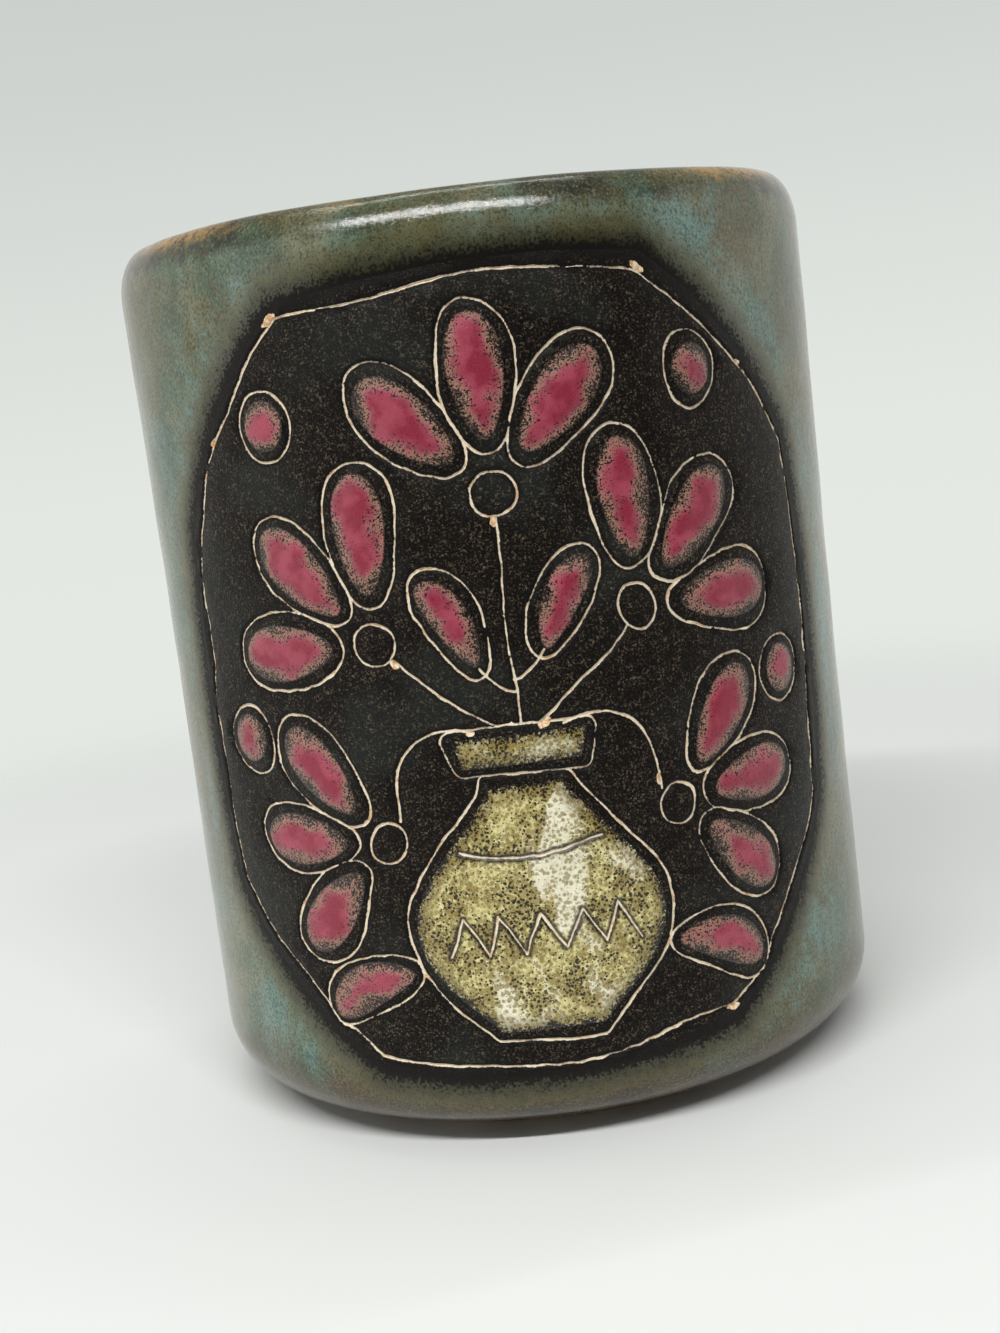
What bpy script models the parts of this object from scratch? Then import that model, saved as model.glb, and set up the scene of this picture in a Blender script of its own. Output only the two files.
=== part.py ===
"""A glazed stoneware mug with a strap handle and a dark decorated panel on its front.

The clay pieces and each coat of glaze are separate solids, as they are laid on in making.
Sizes are in metres and +Z is up. The mug stands on its foot ring at z = 0, its panel faces
-Y and its handle is at +Y. The origin is under the middle of the mug and handle together.
"""

import math

import bmesh
import bpy

# Body
MUG_HEIGHT = 0.112
BODY_RADIUS = 0.0445
CLAY_WALL = 0.0043
CLAY_FLOOR = 0.0055
BASE_CORNER_RADIUS = 0.008
INNER_CORNER_RADIUS = 0.009
LIP_OUTER_WIDTH = 0.0037
LIP_OUTER_DROP = 0.0067
LIP_INNER_DROP = 0.0035

# Foot ring
FOOT_HEIGHT = 0.002
FOOT_WIDTH = 0.005
FOOT_SETBACK = 0.0025
FOOT_EDGE = 0.0006

# Coats, and the space that is left between any two pieces
GLAZE_THICKNESS = 0.0006
LINER_THICKNESS = 0.0006
SLIP_THICKNESS = 0.0004
PANEL_THICKNESS = 0.0003
PATCH_THICKNESS = 0.0004
GAP = 0.0003
FOOT_GLAZE_SETBACK = 0.0012

# Handle, over its glaze
HANDLE_REACH = 0.038
HANDLE_THICKNESS = 0.0102
HANDLE_WIDTH = 0.0182
UPPER_ROOT_DROP = 0.019
LOWER_ROOT_RISE = 0.026
HANDLE_LIFT = 0.004
ROOT_FLARE = 0.26
ROOT_FLARE_LENGTH = 0.013
HANDLE_SQUARENESS = 0.72

# Panel, on the straight stretch of the wall
PANEL_HALF_ARC = 0.044
PANEL_RIM_MARGIN = 0.003
PANEL_FOOT_MARGIN = 0.0008
PANEL_BOW = 0.0016

# Drawing on the panel, which is then stretched a little to fill the panel but for this margin
DRAWING_MARGIN = 0.0045
PETAL_START = 0.0056
PETAL_LENGTH = 0.0140
PETAL_HALF_WIDTH = 0.0033
PETAL_SPREAD = 46.0
BERRY_RADIUS = 0.0029
VASE_FOOT_HALF = 0.0062
VASE_NECK_HALF = 0.0046
VASE_BULGE = 0.0098
VASE_BELLY_LOWNESS = 0.85
VASE_BELLY_ROUNDNESS = 1.3
VASE_BOTTOM = -0.0400
VASE_TOP = -0.0115
VASE_RIM_BOTTOM = -0.0092
VASE_RIM_TOP = -0.0058
VASE_RIM_HALF = 0.0082
VASE_RIM_TAPER = 0.86

# Facets
ROUND_STEPS = 56
HANDLE_STEPS = 22
HANDLE_RESOLUTION = 6
ARC_STEPS = 4
SMOOTH_ANGLE = 35.0
MERGE_DISTANCE = 0.00001

CLAY_INSET = GLAZE_THICKNESS + GAP
CLAY_RADIUS = BODY_RADIUS - CLAY_INSET
INSIDE_INSET = LINER_THICKNESS + GAP
INSIDE_RADIUS = CLAY_RADIUS - CLAY_WALL - INSIDE_INSET
LIP_RADIUS = BODY_RADIUS - LIP_OUTER_WIDTH
UNDERSIDE = FOOT_HEIGHT + CLAY_INSET
CLAY_FLOOR_TOP = UNDERSIDE + CLAY_FLOOR
INSIDE_FLOOR = CLAY_FLOOR_TOP + INSIDE_INSET
FOOT_OUTER = BODY_RADIUS - BASE_CORNER_RADIUS - FOOT_SETBACK
FOOT_INNER = FOOT_OUTER - FOOT_WIDTH

PANEL_OUTER = CLAY_RADIUS + GAP + PANEL_THICKNESS
PATCH_INNER = PANEL_OUTER + GAP
PATCH_OUTER = PATCH_INNER + PATCH_THICKNESS
PANEL_BOTTOM = FOOT_HEIGHT + BASE_CORNER_RADIUS + PANEL_FOOT_MARGIN
PANEL_TOP = MUG_HEIGHT - LIP_OUTER_DROP - PANEL_RIM_MARGIN
PANEL_HALF_HEIGHT = (PANEL_TOP - PANEL_BOTTOM) / 2
PANEL_CENTRE = (PANEL_TOP + PANEL_BOTTOM) / 2

# A wrapped cutter's flat ends, well inside the wall and well outside the patches
CAP_INNER = 0.5 * CLAY_RADIUS
CAP_OUTER = 2.2 * PATCH_OUTER

UPPER_ROOT = MUG_HEIGHT - UPPER_ROOT_DROP
ROOT_MIDDLE = (UPPER_ROOT + LOWER_ROOT_RISE) / 2
ROOT_HALF_SPAN = (UPPER_ROOT - LOWER_ROOT_RISE) / 2
CORE_HALF_THICKNESS = HANDLE_THICKNESS / 2 - CLAY_INSET
CORE_HALF_WIDTH = HANDLE_WIDTH / 2 - CLAY_INSET
SLIP_INNER = CLAY_RADIUS + GAP
SLIP_OUTER = SLIP_INNER + SLIP_THICKNESS

# The body's axis stands in front of the origin, so that the origin is under the middle.
AXIS_Y = -(HANDLE_REACH - (PATCH_OUTER - BODY_RADIUS)) / 2

# Corners of the panel as shares of its half arc and half height, cut by hand and so uneven
PANEL_CORNERS = (
    (0.47, 1.0),
    (0.98, 0.50),
    (1.0, -0.47),
    (0.53, -0.98),
    (-0.50, -1.0),
    (-1.0, -0.52),
    (-0.97, 0.44),
    (-0.54, 0.97),
)

# Flower heads: across, up, tilt from upright in degrees, size against the largest
FLOWER_HEADS = (
    (0.0005, 0.0212, 2.0, 1.0),
    (-0.0160, 0.0058, 46.0, 0.98),
    (0.0165, 0.0064, -44.0, 0.98),
    (-0.0182, -0.0172, 88.0, 0.92),
    (0.0188, -0.0164, -86.0, 0.92),
)

# Leaves: across and up at the middle, direction in degrees, length, half width, bend
LEAVES = (
    (-0.0068, 0.0072, 120.0, 0.0115, 0.0023, -0.0007),
    (0.0074, 0.0082, 58.0, 0.0115, 0.0023, 0.0007),
    (-0.0224, -0.0350, 203.0, 0.0130, 0.0027, -0.0010),
    (0.0228, -0.0345, -21.0, 0.0130, 0.0027, 0.0010),
)

# Round berries: across, up
BERRIES = (
    (-0.0372, -0.0048),
    (0.0376, -0.0042),
    (-0.0272, 0.0312),
    (0.0270, 0.0318),
)

# Colours and roughness
CLAY = ("stoneware_clay", (0.62, 0.47, 0.32), 0.85)
SLIP = ("luting_slip", (0.55, 0.42, 0.29), 0.9)
GREEN_GLAZE = ("green_glaze", (0.12, 0.17, 0.145), 0.22)
LINER_GLAZE = ("liner_glaze", (0.15, 0.21, 0.18), 0.2)
DARK_GLAZE = ("dark_glaze", (0.016, 0.017, 0.016), 0.4)
ROSE_GLAZE = ("rose_glaze", (0.33, 0.055, 0.095), 0.4)
STRAW_GLAZE = ("straw_glaze", (0.46, 0.42, 0.16), 0.35)


def clear_scene():
    for item in list(bpy.data.objects):
        bpy.data.objects.remove(item, do_unlink=True)


def new_collection(name):
    made = bpy.data.collections.new(name)
    bpy.context.scene.collection.children.link(made)
    return made


def material_of(finish):
    name, colour, roughness = finish
    material = bpy.data.materials.get(name)
    if material is None:
        material = bpy.data.materials.new(name)
        material.use_nodes = True
        shader = material.node_tree.nodes["Principled BSDF"]
        shader.inputs["Base Color"].default_value = (*colour, 1.0)
        shader.inputs["Roughness"].default_value = roughness
        shader.inputs["Metallic"].default_value = 0.0
    return material


def place(name, mesh, finish, group, axis):
    """An object on the mug's axis. With no finish it is a cutter, which isn't rendered."""
    made = bpy.data.objects.new(name, mesh)
    group.objects.link(made)
    made.parent = axis
    if finish is None:
        made.hide_render = True
        made.display_type = "WIRE"
    else:
        mesh.materials.append(material_of(finish))
        mesh.shade_smooth()
        mesh.set_sharp_from_angle(angle=math.radians(SMOOTH_ANGLE))
    return made


def boolean(target, cutter, operation):
    """Cuts target by cutter, joins it or keeps what they share."""
    modifier = target.modifiers.new(f"{operation.lower()} {cutter.name}", "BOOLEAN")
    modifier.operation = operation
    modifier.solver = "EXACT"
    modifier.object = cutter
    return target


def arc(centre_r, centre_z, radius_r, radius_z, start, end, steps=ARC_STEPS):
    """Points along an elliptical arc, by angles in degrees from the +r direction."""
    angles = [math.radians(start + (end - start) * i / steps) for i in range(steps + 1)]
    return [(centre_r + radius_r * math.cos(a), centre_z + radius_z * math.sin(a)) for a in angles]


def outer_lip(inset):
    """Over the outside of the lip, from its top down to the wall."""
    centre = MUG_HEIGHT - LIP_OUTER_DROP
    return arc(LIP_RADIUS, centre, LIP_OUTER_WIDTH - inset, LIP_OUTER_DROP - inset, 90, 0)


def inner_lip(inset):
    """Over the inside of the lip, from the wall up to its top."""
    centre = MUG_HEIGHT - LIP_INNER_DROP
    width = LIP_RADIUS - INSIDE_RADIUS
    return arc(LIP_RADIUS, centre, width - inset, LIP_INNER_DROP - inset, 180, 90)


def base_corner(inset):
    """Round the outside of the base, from the wall down to the underside."""
    centre = BODY_RADIUS - BASE_CORNER_RADIUS
    radius = BASE_CORNER_RADIUS - inset
    return arc(centre, FOOT_HEIGHT + BASE_CORNER_RADIUS, radius, radius, 0, -90)


def inner_corner(outset, start, end):
    """Round the inside of the base, outset into the wall."""
    centre = INSIDE_RADIUS - INNER_CORNER_RADIUS
    radius = INNER_CORNER_RADIUS + outset
    return arc(centre, INSIDE_FLOOR + INNER_CORNER_RADIUS, radius, radius, start, end)


def turned(name, profile, finish, group, axis, closed=False):
    """A solid of revolution. Its profile runs from the inside over the top and down the outside."""
    mesh = bpy.data.meshes.new(name)
    edges = [(i, i + 1) for i in range(len(profile) - 1)]
    if closed:
        edges.append((len(profile) - 1, 0))
    mesh.from_pydata([(r, 0.0, z) for r, z in profile], edges, [])
    made = place(name, mesh, finish, group, axis)
    screw = made.modifiers.new("turn", "SCREW")
    screw.axis = "Z"
    screw.steps = ROUND_STEPS
    screw.render_steps = ROUND_STEPS
    screw.use_merge_vertices = True
    screw.merge_threshold = MERGE_DISTANCE
    return made


def ring(name, inner, outer, bottom, top, finish, group, axis):
    """A plain upright tube between two radii and two heights."""
    profile = [(inner, bottom), (inner, top), (outer, top), (outer, bottom)]
    return turned(name, profile, finish, group, axis, closed=True)


def wrapped_prism(name, outline, group, axis):
    """A cutter whose flat outline of (arc length, height) points is wrapped round the body.

    It runs straight out from the mug's axis. It has a course of its own through the coats,
    so that its walls there stay true, and beyond that its flat caps clear the body's curve.
    """
    radii = (CAP_INNER, CLAY_RADIUS, PATCH_OUTER + GAP, CAP_OUTER)
    shape = bmesh.new()
    corners = [shape.verts.new((u, radii[0], v)) for u, v in outline]
    cap = bmesh.ops.poke(shape, faces=[shape.faces.new(corners)])["faces"]
    for course, radius in enumerate(radii[1:]):
        made = bmesh.ops.extrude_face_region(shape, geom=cap)["geom"]
        if course > 0:
            bmesh.ops.delete(shape, geom=cap, context="FACES")
        cap = [item for item in made if isinstance(item, bmesh.types.BMFace)]
        for item in made:
            if isinstance(item, bmesh.types.BMVert):
                item.co.y = radius
    for vert in shape.verts:
        angle = vert.co.x / BODY_RADIUS
        vert.co = (vert.co.y * math.sin(angle), -vert.co.y * math.cos(angle), vert.co.z)
    bmesh.ops.triangulate(shape, faces=shape.faces)
    bmesh.ops.recalc_face_normals(shape, faces=shape.faces)
    mesh = bpy.data.meshes.new(name)
    shape.to_mesh(mesh)
    shape.free()
    return place(name, mesh, None, group, axis)


def grown(outline, distance):
    """The outline moved outwards by a distance at every point."""
    area = sum(a[0] * b[1] - b[0] * a[1] for a, b in zip(outline, outline[1:] + outline[:1]))
    side = 1.0 if area > 0 else -1.0
    moved = []
    for before, here, after in zip(outline[-1:] + outline[:-1], outline, outline[1:] + outline[:1]):
        along = (after[0] - before[0], after[1] - before[1])
        length = math.hypot(*along)
        out = (side * along[1] / length, -side * along[0] / length)
        moved.append((here[0] + distance * out[0], here[1] + distance * out[1]))
    return moved


def panel_outline(steps=4):
    """The bowed, many-sided edge of the dark panel."""
    corners = [(a * PANEL_HALF_ARC, PANEL_CENTRE + b * PANEL_HALF_HEIGHT) for a, b in PANEL_CORNERS]
    points = []
    for (u0, v0), (u1, v1) in zip(corners, corners[1:] + corners[:1]):
        length = math.hypot(u1 - u0, v1 - v0)
        out = (-(v1 - v0) / length, (u1 - u0) / length)
        for i in range(steps):
            share = i / steps
            bow = 4 * PANEL_BOW * share * (1 - share)
            points.append((u0 + (u1 - u0) * share + bow * out[0], v0 + (v1 - v0) * share + bow * out[1]))
    return points


def egg(across, up, direction, length, half_width, bend=0.0, taper=0.5, steps=16):
    """A bent egg shape: its middle, the way that its thick end points, and its size."""
    way = math.radians(direction)
    points = []
    for i in range(steps):
        turn = 2 * math.pi * i / steps
        along = math.cos(turn) / 2
        aside = math.sin(turn) * half_width * (1 + taper * along) + bend * (1 - 4 * along * along)
        along *= length
        points.append(
            (
                across + along * math.cos(way) - aside * math.sin(way),
                up + along * math.sin(way) + aside * math.cos(way),
            )
        )
    return points


def petals(across, up, tilt, size):
    """The three patches of one flower head, fanned from the top of its stem."""
    found = []
    for side in (-1, 0, 1):
        direction = 90.0 + tilt + side * PETAL_SPREAD
        middle = size * (PETAL_START + PETAL_LENGTH / 2)
        way = math.radians(direction)
        found.append(
            egg(
                across + middle * math.cos(way),
                up + middle * math.sin(way),
                direction,
                size * PETAL_LENGTH,
                size * PETAL_HALF_WIDTH,
            )
        )
    return found


def berry(across, up):
    return egg(across, up, 0.0, 2 * BERRY_RADIUS, BERRY_RADIUS, taper=0.0)


def vase_body(steps=9):
    """The vase's swelling sides, from its foot to its neck."""
    side = []
    for i in range(steps + 1):
        share = i / steps
        half = VASE_FOOT_HALF + (VASE_NECK_HALF - VASE_FOOT_HALF) * share
        swell = math.sin(math.pi * share**VASE_BELLY_LOWNESS)
        half += VASE_BULGE * swell**VASE_BELLY_ROUNDNESS
        side.append((half, VASE_BOTTOM + (VASE_TOP - VASE_BOTTOM) * share))
    return side + [(-half, height) for half, height in reversed(side)]


def vase_rim():
    """The band round the vase's mouth, wider at its top."""
    lower, upper = VASE_RIM_TAPER * VASE_RIM_HALF, VASE_RIM_HALF
    return [
        (-lower, VASE_RIM_BOTTOM),
        (lower, VASE_RIM_BOTTOM),
        (upper, VASE_RIM_TOP),
        (-upper, VASE_RIM_TOP),
    ]


def drawing():
    """Every patch of coloured glaze as (name, finish, outline), fitted to the panel."""
    patches = [("vase_glaze", STRAW_GLAZE, vase_body()), ("vase_rim_glaze", STRAW_GLAZE, vase_rim())]
    for flower, head in enumerate(FLOWER_HEADS, 1):
        for letter, petal in zip("abc", petals(*head)):
            patches.append((f"petal_glaze_{flower}{letter}", ROSE_GLAZE, petal))
    for number, leaf in enumerate(LEAVES, 1):
        patches.append((f"leaf_glaze_{number}", ROSE_GLAZE, egg(*leaf)))
    for number, middle in enumerate(BERRIES, 1):
        patches.append((f"berry_glaze_{number}", ROSE_GLAZE, berry(*middle)))

    points = [point for _, _, outline in patches for point in outline]
    widest = max(abs(u) for u, _ in points)
    lowest = min(v for _, v in points)
    highest = max(v for _, v in points)
    bottom = PANEL_BOTTOM + DRAWING_MARGIN
    across = (PANEL_HALF_ARC - DRAWING_MARGIN) / widest
    up = (PANEL_TOP - DRAWING_MARGIN - bottom) / (highest - lowest)
    return [
        (name, finish, [(across * u, bottom + up * (v - lowest)) for u, v in outline])
        for name, finish, outline in patches
    ]


def handle_path():
    """(y, z, flare) along the handle's middle, from inside the wall to inside it again."""
    reach = HANDLE_REACH - HANDLE_THICKNESS / 2
    inside = CLAY_RADIUS - CLAY_WALL
    points = [(inside, UPPER_ROOT, 1 + ROOT_FLARE)]
    for i in range(HANDLE_STEPS + 1):
        turn = math.pi * i / HANDLE_STEPS
        out = reach * math.sin(turn) ** HANDLE_SQUARENESS
        rise = ROOT_MIDDLE + ROOT_HALF_SPAN * math.cos(turn) + HANDLE_LIFT * math.sin(turn) ** 2
        near = max(0.0, 1 - out / ROOT_FLARE_LENGTH)
        points.append((BODY_RADIUS + out, rise, 1 + ROOT_FLARE * near**2))
    points.append((inside, LOWER_ROOT_RISE, 1 + ROOT_FLARE))
    return points


def handle_sweep(name, grow, finish, group, axis, capped=True):
    """The strap handle, its section grown all round, with its ends inside the body's wall."""
    curve = bpy.data.curves.new(name, "CURVE")
    curve.dimensions = "3D"
    curve.twist_mode = "MINIMUM"
    curve.bevel_depth = CORE_HALF_THICKNESS + grow
    curve.bevel_resolution = HANDLE_RESOLUTION
    curve.use_fill_caps = capped
    path = handle_path()
    spline = curve.splines.new("POLY")
    spline.points.add(len(path) - 1)
    for point, (y, z, flare) in zip(spline.points, path):
        point.co = (0.0, y, z, 1.0)
        point.radius = flare
    tube = bpy.data.objects.new(name, curve)
    group.objects.link(tube)
    bpy.context.view_layer.update()
    graph = bpy.context.evaluated_depsgraph_get()
    mesh = bpy.data.meshes.new_from_object(tube.evaluated_get(graph))
    bpy.data.objects.remove(tube, do_unlink=True)
    shape = bmesh.new()
    shape.from_mesh(mesh)
    bmesh.ops.remove_doubles(shape, verts=shape.verts, dist=MERGE_DISTANCE)
    strap = (CORE_HALF_WIDTH + grow) / (CORE_HALF_THICKNESS + grow)
    bmesh.ops.scale(shape, verts=shape.verts, vec=(strap, 1.0, 1.0))
    bmesh.ops.recalc_face_normals(shape, faces=shape.faces)
    shape.to_mesh(mesh)
    shape.free()
    mesh.name = name
    mesh.materials.clear()
    return place(name, mesh, finish, group, axis)


def plug(name, radius, group, axis):
    """A solid cutter of the body's own facets, from below the foot to over the rim."""
    profile = [(0.0, 2 * MUG_HEIGHT), (radius, 2 * MUG_HEIGHT), (radius, -MUG_HEIGHT), (0.0, -MUG_HEIGHT)]
    return turned(name, profile, None, group, axis)


def clay_body(parts, axis):
    profile = [(0.0, CLAY_FLOOR_TOP)]
    profile += inner_corner(INSIDE_INSET, -90, 0)
    profile += inner_lip(INSIDE_INSET)[:-1]
    profile += outer_lip(CLAY_INSET)
    profile += base_corner(CLAY_INSET)
    profile += [
        (FOOT_OUTER, UNDERSIDE),
        (FOOT_OUTER, FOOT_EDGE),
        (FOOT_OUTER - FOOT_EDGE, 0.0),
        (FOOT_INNER + FOOT_EDGE, 0.0),
        (FOOT_INNER, FOOT_EDGE),
        (FOOT_INNER, UNDERSIDE),
        (0.0, UNDERSIDE),
    ]
    return turned("clay_body", profile, CLAY, parts, axis)


def liner_glaze(parts, axis):
    """The coat inside the mug, up to where the outer glaze turns in over the lip."""
    top = MUG_HEIGHT - LIP_INNER_DROP - GAP
    profile = [(0.0, INSIDE_FLOOR)]
    profile += inner_corner(0.0, -90, 0)
    profile += [(INSIDE_RADIUS, top), (INSIDE_RADIUS + LINER_THICKNESS, top)]
    profile += inner_corner(LINER_THICKNESS, 0, -90)
    profile += [(0.0, INSIDE_FLOOR - LINER_THICKNESS)]
    return turned("liner_glaze", profile, LINER_GLAZE, parts, axis)


def outer_glaze(parts, cutters, axis, window):
    """The coat from just inside the lip down to the foot, open at the panel and the roots."""
    edge = FOOT_OUTER + FOOT_GLAZE_SETBACK
    profile = inner_lip(0.0)[:-1] + outer_lip(0.0) + base_corner(0.0)
    profile += [(edge, FOOT_HEIGHT), (edge, FOOT_HEIGHT + GLAZE_THICKNESS)]
    profile += base_corner(GLAZE_THICKNESS)[::-1]
    profile += outer_lip(GLAZE_THICKNESS)[::-1]
    profile += inner_lip(LINER_THICKNESS)[:-1][::-1]
    coat = turned("outer_glaze", profile, GREEN_GLAZE, parts, axis, closed=True)
    boolean(coat, window, "DIFFERENCE")
    roots = handle_sweep("root_openings", GAP, None, cutters, axis)
    return boolean(coat, roots, "DIFFERENCE")


def base_glaze(parts, axis):
    """The disc of glaze in the hollow under the foot ring."""
    edge = FOOT_INNER - FOOT_GLAZE_SETBACK
    top = FOOT_HEIGHT + GLAZE_THICKNESS
    profile = [(0.0, top), (edge, top), (edge, FOOT_HEIGHT), (0.0, FOOT_HEIGHT)]
    return turned("base_glaze", profile, DARK_GLAZE, parts, axis)


def handle_pieces(parts, cutters, axis):
    """The clay handle, the slip that holds its two roots on, and its glaze."""
    clay_plug = plug("clay_handle_plug", SLIP_OUTER + GAP, cutters, axis)
    clay = handle_sweep("clay_handle", 0.0, CLAY, parts, axis)
    boolean(clay, clay_plug, "DIFFERENCE")

    halves = (("upper", ROOT_MIDDLE, MUG_HEIGHT), ("lower", 0.0, ROOT_MIDDLE))
    for name, bottom, top in halves:
        pad_name = f"{name}_luting_slip"
        pad = ring(pad_name, SLIP_INNER, SLIP_OUTER, bottom, top, SLIP, parts, axis)
        boolean(pad, handle_sweep(f"{name}_root", 0.0, None, cutters, axis), "INTERSECT")

    coat = handle_sweep("handle_glaze", CLAY_INSET, GREEN_GLAZE, parts, axis, capped=False)
    shell = coat.modifiers.new("thickness", "SOLIDIFY")
    shell.thickness = GLAZE_THICKNESS
    shell.offset = -1.0
    shell.use_even_offset = True
    boolean(coat, plug("handle_glaze_plug", BODY_RADIUS + GAP, cutters, axis), "DIFFERENCE")


def patch(name, outline, finish, parts, cutters, axis):
    """A pool of coloured glaze that lies on the panel and follows its curve."""
    coat = ring(name, PATCH_INNER, PATCH_OUTER, PANEL_BOTTOM, PANEL_TOP, finish, parts, axis)
    return boolean(coat, wrapped_prism(f"{name}_shape", outline, cutters, axis), "INTERSECT")


def panel_pieces(parts, cutters, axis):
    """The dark panel with its coloured patches. Returns the window for it in the outer glaze."""
    outline = panel_outline()
    coat = ring("panel_slip", SLIP_INNER, PANEL_OUTER, 0.0, MUG_HEIGHT, DARK_GLAZE, parts, axis)
    boolean(coat, wrapped_prism("panel_shape", outline, cutters, axis), "INTERSECT")

    for name, finish, shape in drawing():
        patch(name, shape, finish, parts, cutters, axis)
    return wrapped_prism("panel_window", grown(outline, GAP), cutters, axis)


def main():
    clear_scene()
    parts = new_collection("coffee_mug")
    cutters = new_collection("cutters")
    axis = bpy.data.objects.new("mug_axis", None)
    parts.objects.link(axis)
    axis.location = (0.0, AXIS_Y, 0.0)

    clay_body(parts, axis)
    liner_glaze(parts, axis)
    base_glaze(parts, axis)
    window = panel_pieces(parts, cutters, axis)
    outer_glaze(parts, cutters, axis, window)
    handle_pieces(parts, cutters, axis)


main()
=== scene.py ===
"""The looks of a hand-glazed stoneware mug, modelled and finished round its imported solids.

Sizes are in metres. +Z is up, the decorated panel faces -Y and the handle is at +Y. A place on
the wall is (across, up): the arc length from the panel's middle, and the height, which runs on
over the lip and round the base as a length along the surface.
"""

import math

import bmesh
import bpy
import numpy as np
from mathutils import Matrix, Vector


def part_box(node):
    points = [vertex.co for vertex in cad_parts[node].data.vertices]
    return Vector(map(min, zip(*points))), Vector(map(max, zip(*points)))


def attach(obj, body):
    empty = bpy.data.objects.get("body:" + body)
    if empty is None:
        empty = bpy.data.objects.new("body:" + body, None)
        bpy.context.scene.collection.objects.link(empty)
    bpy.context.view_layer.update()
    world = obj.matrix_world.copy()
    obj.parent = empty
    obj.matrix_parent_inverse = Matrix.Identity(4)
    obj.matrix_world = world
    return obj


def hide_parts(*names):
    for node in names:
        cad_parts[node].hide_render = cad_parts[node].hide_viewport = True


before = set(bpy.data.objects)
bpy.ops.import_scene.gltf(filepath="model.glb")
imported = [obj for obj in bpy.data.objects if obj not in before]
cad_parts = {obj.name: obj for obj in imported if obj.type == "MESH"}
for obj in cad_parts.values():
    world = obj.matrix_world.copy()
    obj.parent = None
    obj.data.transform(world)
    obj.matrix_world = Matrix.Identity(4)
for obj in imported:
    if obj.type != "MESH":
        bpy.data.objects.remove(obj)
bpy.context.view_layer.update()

# Body, with its overall sizes read from the frame
glaze_low, glaze_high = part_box("outer_glaze")
liner_low, liner_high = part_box("liner_glaze")
clay_low, clay_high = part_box("clay_body")
BODY_RADIUS = (glaze_high.x - glaze_low.x) / 2
MUG_HEIGHT = glaze_high.z
AXIS_Y = (liner_low.y + liner_high.y) / 2
CLAY_RADIUS = (clay_high.x - clay_low.x) / 2
BASE_CORNER_RADIUS = 0.008
INNER_CORNER_RADIUS = 0.009
LIP_OUTER_WIDTH = 0.0037
LIP_OUTER_DROP = 0.0067
LIP_INNER_DROP = 0.0035
LINER_THICKNESS = 0.0006
GLAZE_THICKNESS = 0.0005
FOOT_HEIGHT = 0.002
FOOT_OUTER = 0.034
FOOT_INNER = 0.029
FOOT_EDGE = 0.0006
FOOT_GLAZE_SETBACK = 0.0012
HOLLOW_BEND = 0.0005
CLAY_WALL = 0.0043
GAP = 0.0003
INSIDE_RADIUS = (liner_high.x - liner_low.x) / 2 - LINER_THICKNESS
INSIDE_FLOOR = liner_low.z + LINER_THICKNESS
LIP_RADIUS = BODY_RADIUS - LIP_OUTER_WIDTH
LIP_INNER_WIDTH = LIP_RADIUS - INSIDE_RADIUS
WALL_BOTTOM = FOOT_HEIGHT + BASE_CORNER_RADIUS
WALL_TOP = MUG_HEIGHT - LIP_OUTER_DROP
INNER_BEND = (INSIDE_RADIUS - INNER_CORNER_RADIUS, INSIDE_FLOOR + INNER_CORNER_RADIUS)
BEND_STEPS = 12
FOOT_BEND_STEPS = 5

# Lengths along the surface where it leaves the straight wall
QUARTER = math.pi / 2
CORNER_LENGTH = QUARTER * BASE_CORNER_RADIUS
LIP_OUTER_LENGTH = QUARTER * math.sqrt((LIP_OUTER_WIDTH**2 + LIP_OUTER_DROP**2) / 2)
LIP_INNER_LENGTH = QUARTER * math.sqrt((LIP_INNER_WIDTH**2 + LIP_INNER_DROP**2) / 2)
UNDER_LENGTH = BODY_RADIUS - BASE_CORNER_RADIUS - FOOT_OUTER - FOOT_GLAZE_SETBACK
SHEET_BOTTOM = WALL_BOTTOM - CORNER_LENGTH - UNDER_LENGTH
LIP_CREST = WALL_TOP + LIP_OUTER_LENGTH
SHEET_TOP = LIP_CREST + LIP_INNER_LENGTH

# Rows of the outer sheet: from, to and how many
SHEET_ROWS = (
    (SHEET_BOTTOM, WALL_BOTTOM, 18),
    (WALL_BOTTOM, WALL_TOP, 92),
    (WALL_TOP, LIP_CREST, 18),
    (LIP_CREST, SHEET_TOP, 10),
)
SHEET_COLUMNS = 256
ROUND_STEPS = 160

# How close together vertices merge, and how near an edge of the panel faces are cut along it
SHEET_WELD = 0.000002
TURNED_WELD = 0.000005
BISECT_SNAP = 0.00002
BISECT_REACH = 0.0012
BISECT_SPARE = 0.0016

# How near a line the distances to it are worked out, and what stands for well away
LINE_REACH = 0.009
FAR = 1.0

# What a hand leaves in the wall: a drawn-in waist, broad dents, ripples and an uneven lip
WAIST_DEPTH = 0.00022
DENT_DEPTH = 0.0003
DENT_SIZE = 0.02
DENT_SEED = 3
RIPPLE_DEPTH = 0.00007
RIPPLE_SIZE = 0.0055
RIPPLE_SEED = 8
LIP_UNEVENNESS = 0.00035
SWELLS = 7

# Panel, as in the solids, with its corners as shares of its half width and half height
PANEL_HALF_ARC = 0.044
PANEL_RIM_MARGIN = 0.003
PANEL_FOOT_MARGIN = 0.0008
PANEL_BOW = 0.0016
PANEL_STEPS = 4
PANEL_BOTTOM = WALL_BOTTOM + PANEL_FOOT_MARGIN
PANEL_TOP = WALL_TOP - PANEL_RIM_MARGIN
PANEL_HALF_HEIGHT = (PANEL_TOP - PANEL_BOTTOM) / 2
PANEL_CENTRE = (PANEL_TOP + PANEL_BOTTOM) / 2
PANEL_CORNERS = (
    (0.47, 1.0),
    (0.98, 0.5),
    (1.0, -0.47),
    (0.53, -0.98),
    (-0.5, -1.0),
    (-1.0, -0.52),
    (-0.97, 0.44),
    (-0.54, 0.97),
)

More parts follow.
